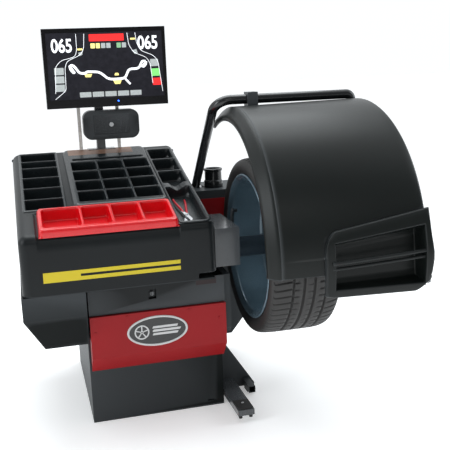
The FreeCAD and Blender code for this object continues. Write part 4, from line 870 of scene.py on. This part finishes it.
# ------------------------------------------------------------------ wheel
def make_tyre():
    """The tyre: round sidewalls, four circumferential grooves and curved sipes cut into the ribs."""
    side = [(374, 256), (371, 268), (368, 274), (362.5, 281), (358.8, 289), (357.2, 297), (357.6, 304),
            (359.6, 311), (362.6, 316.5), (366, 320.5), (371, 323.6), (376, 325.6), (382, 327.2)]
    grooves = [(431, 440), (470, 480), (508, 518), (552, 560)]
    crown = [(392, 328.6), (402, 329.4), (412, 330.0), (422, 330.4)]
    tread = list(crown)
    for g0, g1 in grooves:
        tread += [(g0 - 1.2, 330.8), (g0 - 0.2, 330.0), (g0 + 1.4, 321.0), (g1 - 1.4, 321.0), (g1 + 0.2, 330.0),
                  (g1 + 1.2, 330.8)]
        if g1 < 552:
            nxt = grooves[grooves.index((g0, g1)) + 1][0]
            tread += [(g1 + (nxt - g1) * t, 330.9) for t in (0.3, 0.5, 0.7)]
    tread += [(568, 330.4), (578, 329.8), (588, 329.0)]
    mirror = [(978 - x, r) for x, r in side[::-1]]
    profile = sorted(side, key=lambda p: p[1]) + tread + mirror
    inner = [(604, 256), (592, 260), (595, 290), (585, 314), (394, 314), (384, 290), (386, 260), (374, 256)]
    count = 864
    points, faces = [], []
    full = profile + inner[1:-1]
    wide = len(full)
    for j in range(count):
        for x, r in full:
            curve = 0.0
            depth = 0.0
            on_tread = r > 327 and r < 331.5
            if on_tread or r > 322 and (x < 385 or x > 593):
                curve = 1.6 * ((x - 470) / 100) ** 2 * (1 if x < 495 else -0.8)
                step = j % 12
                shoulder = x < 430 or x > 562
                if shoulder and 366 < x < 612:
                    depth = {0: 5.5, 1: 3.2, 11: 3.2}.get(step, 0.0)
                elif 441 < x < 469:
                    depth = {3: 4.5, 4: 3.0, 2: 3.0}.get(step, 0.0) * (x < 460)
                elif 481 < x < 507:
                    depth = {8: 3.5}.get(step, 0.0) * (x > 492)
                elif 519 < x < 551:
                    depth = {6: 4.5, 7: 3.0, 5: 3.0}.get(step, 0.0) * (x > 530)
            points.append(round_x(x, r - depth, 360 * j / count + curve, SPIN_Y, SPIN_Z))
    for j in range(count):
        n = (j + 1) % count
        for i in range(wide):
            k = (i + 1) % wide
            faces.append((j * wide + i, n * wide + i, n * wide + k, j * wide + k))
    item = link("tyre_skin", mesh("tyre_skin", points, faces), TYRE, "wheel", ["tyre"])
    recalc(item)


def recalc(item):
    tidy = bmesh.new()
    tidy.from_mesh(item.data)
    bmesh.ops.recalc_face_normals(tidy, faces=tidy.faces)
    tidy.to_mesh(item.data)
    tidy.free()


def make_rim():
    """A deep barrel with rolled lips, a hub and five pairs of spokes."""
    outer = [(362, 267), (362.6, 270.5), (365, 272), (368.5, 271.4), (371, 268), (373, 257), (378, 254.6),
             (392, 254), (440, 253), (496, 252), (505, 249), (528, 233.5), (536, 232), (572, 232), (580, 234.5),
             (592, 251), (603, 254.5), (606, 262), (609, 270), (613, 272), (615.6, 270.5), (616, 266)]
    inner = [(615, 262), (611, 254), (606, 249), (594, 245.5), (581, 228.5), (574, 226), (532, 226), (524, 228),
             (503, 242.5), (494, 246), (440, 247.5), (384, 248), (376, 249.5), (369, 255), (364.5, 260.5),
             (362.4, 264)]
    profile = rounded(outer + inner + [outer[0]], 2.0, 2)
    angles = [360 * k / 160 for k in range(160)]
    points, faces = lathe(profile, angles, SPIN_Y, SPIN_Z, closed=True)
    parts = [(points, faces)]
    hub = rounded([(524.2, 34), (524.2, 70), (528, 75), (560, 75), (566, 70), (566, 34), (524.2, 34)], 3, 2)
    parts.append(lathe(hub, angles, SPIN_Y, SPIN_Z, closed=True))

    def spoke(angle, lean):
        """A tapered spoke, hollowed a little at its sides, from the hub to the barrel."""
        pts, fcs = [], []
        count = 12
        for k in range(count + 1):
            t = k / count
            radius = 68 + (230 - 68) * t
            turn = angle + lean * (1 - (1 - t) ** 2)
            half = (15 - 6.5 * math.sin(math.pi * min(1, t * 0.9)) + 3 * t ** 3)
            face = 566 - 8 * t
            back = 530 + 6 * math.sin(math.pi * t)
            for u, x in ((-half, back + 4), (-half * 0.6, back), (half * 0.6, back), (half, back + 4),
                         (half, face - 5), (half * 0.55, face), (-half * 0.55, face), (-half, face - 5)):
                a = math.radians(turn)
                out = Vector((0, -math.sin(a), math.cos(a)))
                over = Vector((0, -math.cos(a), -math.sin(a)))
                at = Vector((x * MM, SPIN_Y, SPIN_Z)) + out * radius * MM + over * u * MM
                pts.append(at)
        for k in range(count):
            for i in range(8):
                n = (i + 1) % 8
                fcs.append((k * 8 + i, (k + 1) * 8 + i, (k + 1) * 8 + n, k * 8 + n))
        fcs.append(tuple(range(8)))
        fcs.append(tuple(count * 8 + i for i in range(8))[::-1])
        return pts, fcs
    for k in range(10):
        parts.append(spoke(36 * k, 9 if k % 2 else -9))
    points, faces = join(parts)
    item = link("rim_skin", mesh("rim_skin", points, faces), RIM, "wheel", ["wheel_rim"])
    recalc(item)


# ------------------------------------------------------------------ screen
def make_screen():
    low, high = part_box("monitor_screen")
    wide, tall = high.x - low.x, high.z - low.z
    front = low.y - 0.0004

    def place(u, v, h):
        return Vector((low.x + u * wide, front - h, high.z - v * tall))

    def patch(points, h=0.0004):
        return prism(points, place, -0.0002, h)

    def rect(u0, u1, v0, v1, h=0.0004, r=0.006):
        return patch(even_curve([(u0, v0), (u1, v0), (u1, v1), (u0, v1)], r, 3), h)

    def stroke(path, thick):
        """A line of even thickness along a path on the screen."""
        aspect = wide / tall
        line = rounded(path, 0.04, 5)
        pts, fcs = [], []
        for i, (u, v) in enumerate(line):
            a = Vector(line[max(i - 1, 0)])
            b = Vector(line[min(i + 1, len(line) - 1)])
            way = Vector(((b.x - a.x) * aspect, b.y - a.y)).normalized()
            side = Vector((-way.y, way.x)) * thick / 2
            pts += [place(u + sign * side.x / aspect, v + sign * side.y, 0.0005) for sign in (1, -1)]
        for i in range(len(line) - 1):
            fcs.append((2 * i, 2 * i + 1, 2 * i + 3, 2 * i + 2))
        return pts, fcs

    def add(name, parts, finish):
        points, faces = join(parts)
        link(name, mesh(name, points, faces, smooth=False), finish, "monitor", [])
    white = [stroke([(0.185, 0.505), (0.20, 0.475), (0.225, 0.50), (0.265, 0.605), (0.315, 0.61), (0.33, 0.585),
                     (0.435, 0.595), (0.515, 0.715), (0.655, 0.71), (0.695, 0.565), (0.78, 0.57),
                     (0.815, 0.455), (0.845, 0.46)], 0.036),
             stroke([(0.655, 0.71), (0.70, 0.80)], 0.030),
             patch(even_curve([(0.175, 0.48), (0.20, 0.50), (0.235, 0.60), (0.21, 0.615), (0.18, 0.55)], 0.02)),
             patch(even_curve([(0.80, 0.545), (0.83, 0.48), (0.86, 0.455), (0.855, 0.51), (0.83, 0.56)], 0.02))]
    thin = 0.007
    white += [stroke([(0.255, 0.02), (0.255, 0.26), (0.235, 0.36), (0.115, 0.405), (0.065, 0.50),
                      (0.05, 0.90)], thin),
              stroke([(0.325, 0.02), (0.315, 0.24), (0.285, 0.33), (0.165, 0.42), (0.145, 0.52), (0.14, 0.86),
                      (0.045, 0.985)], thin),
              stroke([(0.695, 0.02), (0.705, 0.20), (0.745, 0.32), (0.855, 0.40), (0.885, 0.50),
                      (0.90, 0.80)], thin),
              stroke([(0.765, 0.02), (0.775, 0.18), (0.81, 0.30), (0.915, 0.37), (0.955, 0.46),
                      (0.985, 0.93)], thin)]
    add("screen_lines", white, S_WHITE)
    greys = [rect(0.052, 0.132, v, v + 0.105) for v in (0.515, 0.64, 0.765)]
    greys += [rect(0.885, 0.955, 0.43, 0.54)]
    greys += [rect(u, u + 0.098, 0.895, 0.972) for u in (0.255, 0.365, 0.475, 0.585, 0.695)]
    greys += [rect(0.42 + 0.045 * k, 0.457 + 0.045 * k, 0.165, 0.24) for k in (1, 2, 4, 5)]
    greys += [patch([(0.265, 0.30), (0.305, 0.28), (0.30, 0.33), (0.275, 0.35)]),
              patch([(0.73, 0.29), (0.77, 0.27), (0.78, 0.33), (0.755, 0.345)])]
    add("screen_buttons", greys, S_GREY)
    add("screen_red_bar", [rect(0.365, 0.665, 0.03, 0.135), rect(0.90, 0.975, 0.72, 0.83)], S_RED)
    add("screen_green_key", [rect(0.892, 0.965, 0.575, 0.69), rect(0.60, 0.637, 0.165, 0.24)], S_GREEN)
    add("screen_yellow_marks", [patch([(0.305, 0.62), (0.372, 0.62), (0.36, 0.67), (0.315, 0.67)]),
                                patch([(0.55, 0.73), (0.625, 0.73), (0.61, 0.79), (0.565, 0.79)]),
                                rect(0.26, 0.305, 0.235, 0.262), rect(0.72, 0.765, 0.10, 0.127),
                                rect(0.375, 0.412, 0.165, 0.24), rect(0.42, 0.455, 0.165, 0.24),
                                patch(even_curve([(0.57, 0.62), (0.60, 0.62), (0.605, 0.66),
                                                  (0.565, 0.66)], 0.01))],
        S_YELLOW)

    def digits(name, text, u, v, size):
        """Plain numbers, drawn from the built-in face and turned into a mesh."""
        letters = bpy.data.curves.new(name, "FONT")
        letters.body = text
        letters.align_x = "CENTER"
        letters.align_y = "CENTER"
        letters.size = size
        letters.offset = 0.0014
        letters.extrude = 0.0002
        holder = bpy.data.objects.new(name + "_text", letters)
        bpy.context.collection.objects.link(holder)
        bpy.context.view_layer.update()
        made = bpy.data.meshes.new_from_object(holder)
        bpy.data.objects.remove(holder)
        made.transform(Matrix.Rotation(math.radians(90), 4, "X") @ Matrix.Diagonal((0.86, 1.12, 1, 1)))
        at = place(u, v, 0.0005)
        made.transform(Matrix.Translation(at))
        made.materials.clear()
        link(name, made, S_WHITE, "monitor", [])
    digits("screen_digits_left", "065", 0.130, 0.20, 0.066)
    digits("screen_digits_right", "065", 0.872, 0.185, 0.066)
    pts = []
    count = 16
    middle = Vector((-0.012, low.y - 0.002, 1.1485))
    for k in range(count):
        t = 2 * math.pi * k / count
        for dy, r in ((0.0, 3.2), (0.6, 2.4), (0.9, 0.2)):
            pts.append(middle + Vector((r * math.cos(t), -dy, r * math.sin(t))) * MM)
    link("power_light", mesh("power_light", pts, ring_faces(count, 3)), S_BLUE, "monitor", [])


# ------------------------------------------------------------------ small pieces
def make_pod():
    """The inset panel on the control box, with its fine raised dots."""
    parts = []
    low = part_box("control_pod")[0]
    x0, z0 = -122, 1015
    y = low.y / MM

    def place(u, v, h):
        return Vector((u * MM, (y - h) * MM, v * MM))
    for i in range(22):
        for j in range(12):
            u, v = x0 + 5 + 6.5 * i, z0 + 5 + 6.4 * j
            if math.hypot(u + 50, v - 1054) < 15:
                continue
            parts.append(prism([(u - 1.5, v), (u, v - 1.5), (u + 1.5, v), (u, v + 1.5)], place, -0.3, 0.5))
    points, faces = join(parts)
    link("pod_dots", mesh("pod_dots", points, faces), BLACK, "frame", [])


def make_pliers():
    """Chromed weight pliers: a forged jaw and a red dipped grip on each half."""
    halves = (("pliers_lower", "pliers", 1, -38.5), ("pliers_upper", "pliers_arm", -1, -32.3))
    for node, body, side, lift in halves:
        def at(u, s, h):
            return on_tray(146 + side * u, 118 + s, h)
        outline_points = even_curve([(-9, -8), (-16, -34), (-5, -62), (-1.5, -60), (-4, -34), (6, -6), (14, 34),
                                     (9, 38), (-7, 8)], 4, 4)
        if side < 0:
            outline_points = outline_points[::-1]
        jaw = prism(outline_points, at, lift - 2.7, lift + 2.7)
        item = link(node + "_jaw", mesh(node + "_jaw", *jaw), CHROME, body, [node])
        recalc(item)
        soften(item, 0.0009, 3)
        path = [at(8 + 15 * smooth_step(t / 1.15) + 1.5 * math.sin(math.pi * t), 26 + 116 * t, lift + 0.5)
                for t in [k / 18 for k in range(19)]]
        grip = tube(path, 4.6 * MM, 14, 0.8, lambda t: 0.8 + 0.28 * math.sin(math.pi * min(1, 0.15 + t)))
        link(node + "_grip", mesh(node + "_grip", *grip), GRIP_RED, body, [])
    rivet = []
    count = 20
    for k in range(count):
        t = 2 * math.pi * k / count
        for r, h in ((5.5, -29.4), (5.2, -28.2), (4.0, -27.4), (0.3, -27.2)):
            rivet.append(on_tray(146 + r * math.cos(t), 118 + r * math.sin(t), h))
    link("pliers_rivet", mesh("pliers_rivet", rivet, ring_faces(count, 4)), STEEL, "pliers", [])


def make_cup():
    """The spare clamping cup: turned steel with grooves, and a hexagonal socket."""
    low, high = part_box("adapter_cup")
    centre = (low + high) / 2
    base = low.z / MM
    outer = rounded([(38, 0), (40, 2), (40, 26), (37, 30), (36, 32), (36, 66), (38, 70), (40, 72), (40, 78),
                     (38, 80), (31, 80), (29.5, 78), (29.5, 71), (28, 70)], 1.2, 2)
    count = 60
    points = []

    def at(r, t, h):
        return Vector((centre.x + r * MM * math.cos(t), centre.y + r * MM * math.sin(t), (base + h) * MM))
    for k in range(count):
        t = 2 * math.pi * k / count
        points += [at(r, t, h) for r, h in outer]
        near = (t + math.pi / 6) % (math.pi / 3) - math.pi / 6
        flat = 18.2 / math.cos(near)
        points += [at(r, t, h) for r, h in ((flat + 1.2, 70), (flat, 68.8), (flat, 22), (0.2, 21))]
    wide = len(outer) + 4
    faces = ring_faces(count, wide)
    faces.append(tuple(k * wide for k in range(count))[::-1])
    item = link("cup_skin", mesh("cup_skin", points, faces), BLACK, "adapter", ["adapter_cup"])
    soften(item, 0.0004, 2, 50)


def make_front_details():
    """A painted shadow: a thin dark red sheet on the upper front plate that stands for the shade in the slot at
    its right; and the bolt on the pedal.
    """
    def place(u, v, h):
        return Vector((u * MM, (-362.2 - h) * MM, v * MM))
    # Painted shade: a flat dark sheet laid where the slot's shadow falls, with no real slot cut behind it.
    points, faces = prism([(150, 500), (226, 500), (226, 525), (150, 525)], place, 0, 0.5)
    link("shadow_slot", mesh("shadow_slot", points, faces, smooth=False), SLOT_SHADE, "frame", [])
    bolt = []
    count = 18
    for k in range(count):
        t = 2 * math.pi * k / count
        for r, h in ((5.0, 58.0), (4.6, 60.0), (2.6, 61.0), (0.2, 61.2)):
            bolt.append(Vector(((285 + r * math.cos(t)) * MM, (-455 + r * math.sin(t)) * MM, h * MM)))
    link("pedal_bolt", mesh("pedal_bolt", bolt, ring_faces(count, 4)), STEEL, "pedal", [])


make_camera()
make_stage()
dress_frame()
make_body()
make_trays()
make_stripe()
make_badge()
make_hood_skin()
make_hood_lip()
make_handle()
make_tyre()
make_rim()
make_screen()
make_pod()
make_pliers()
make_cup()
make_front_details()
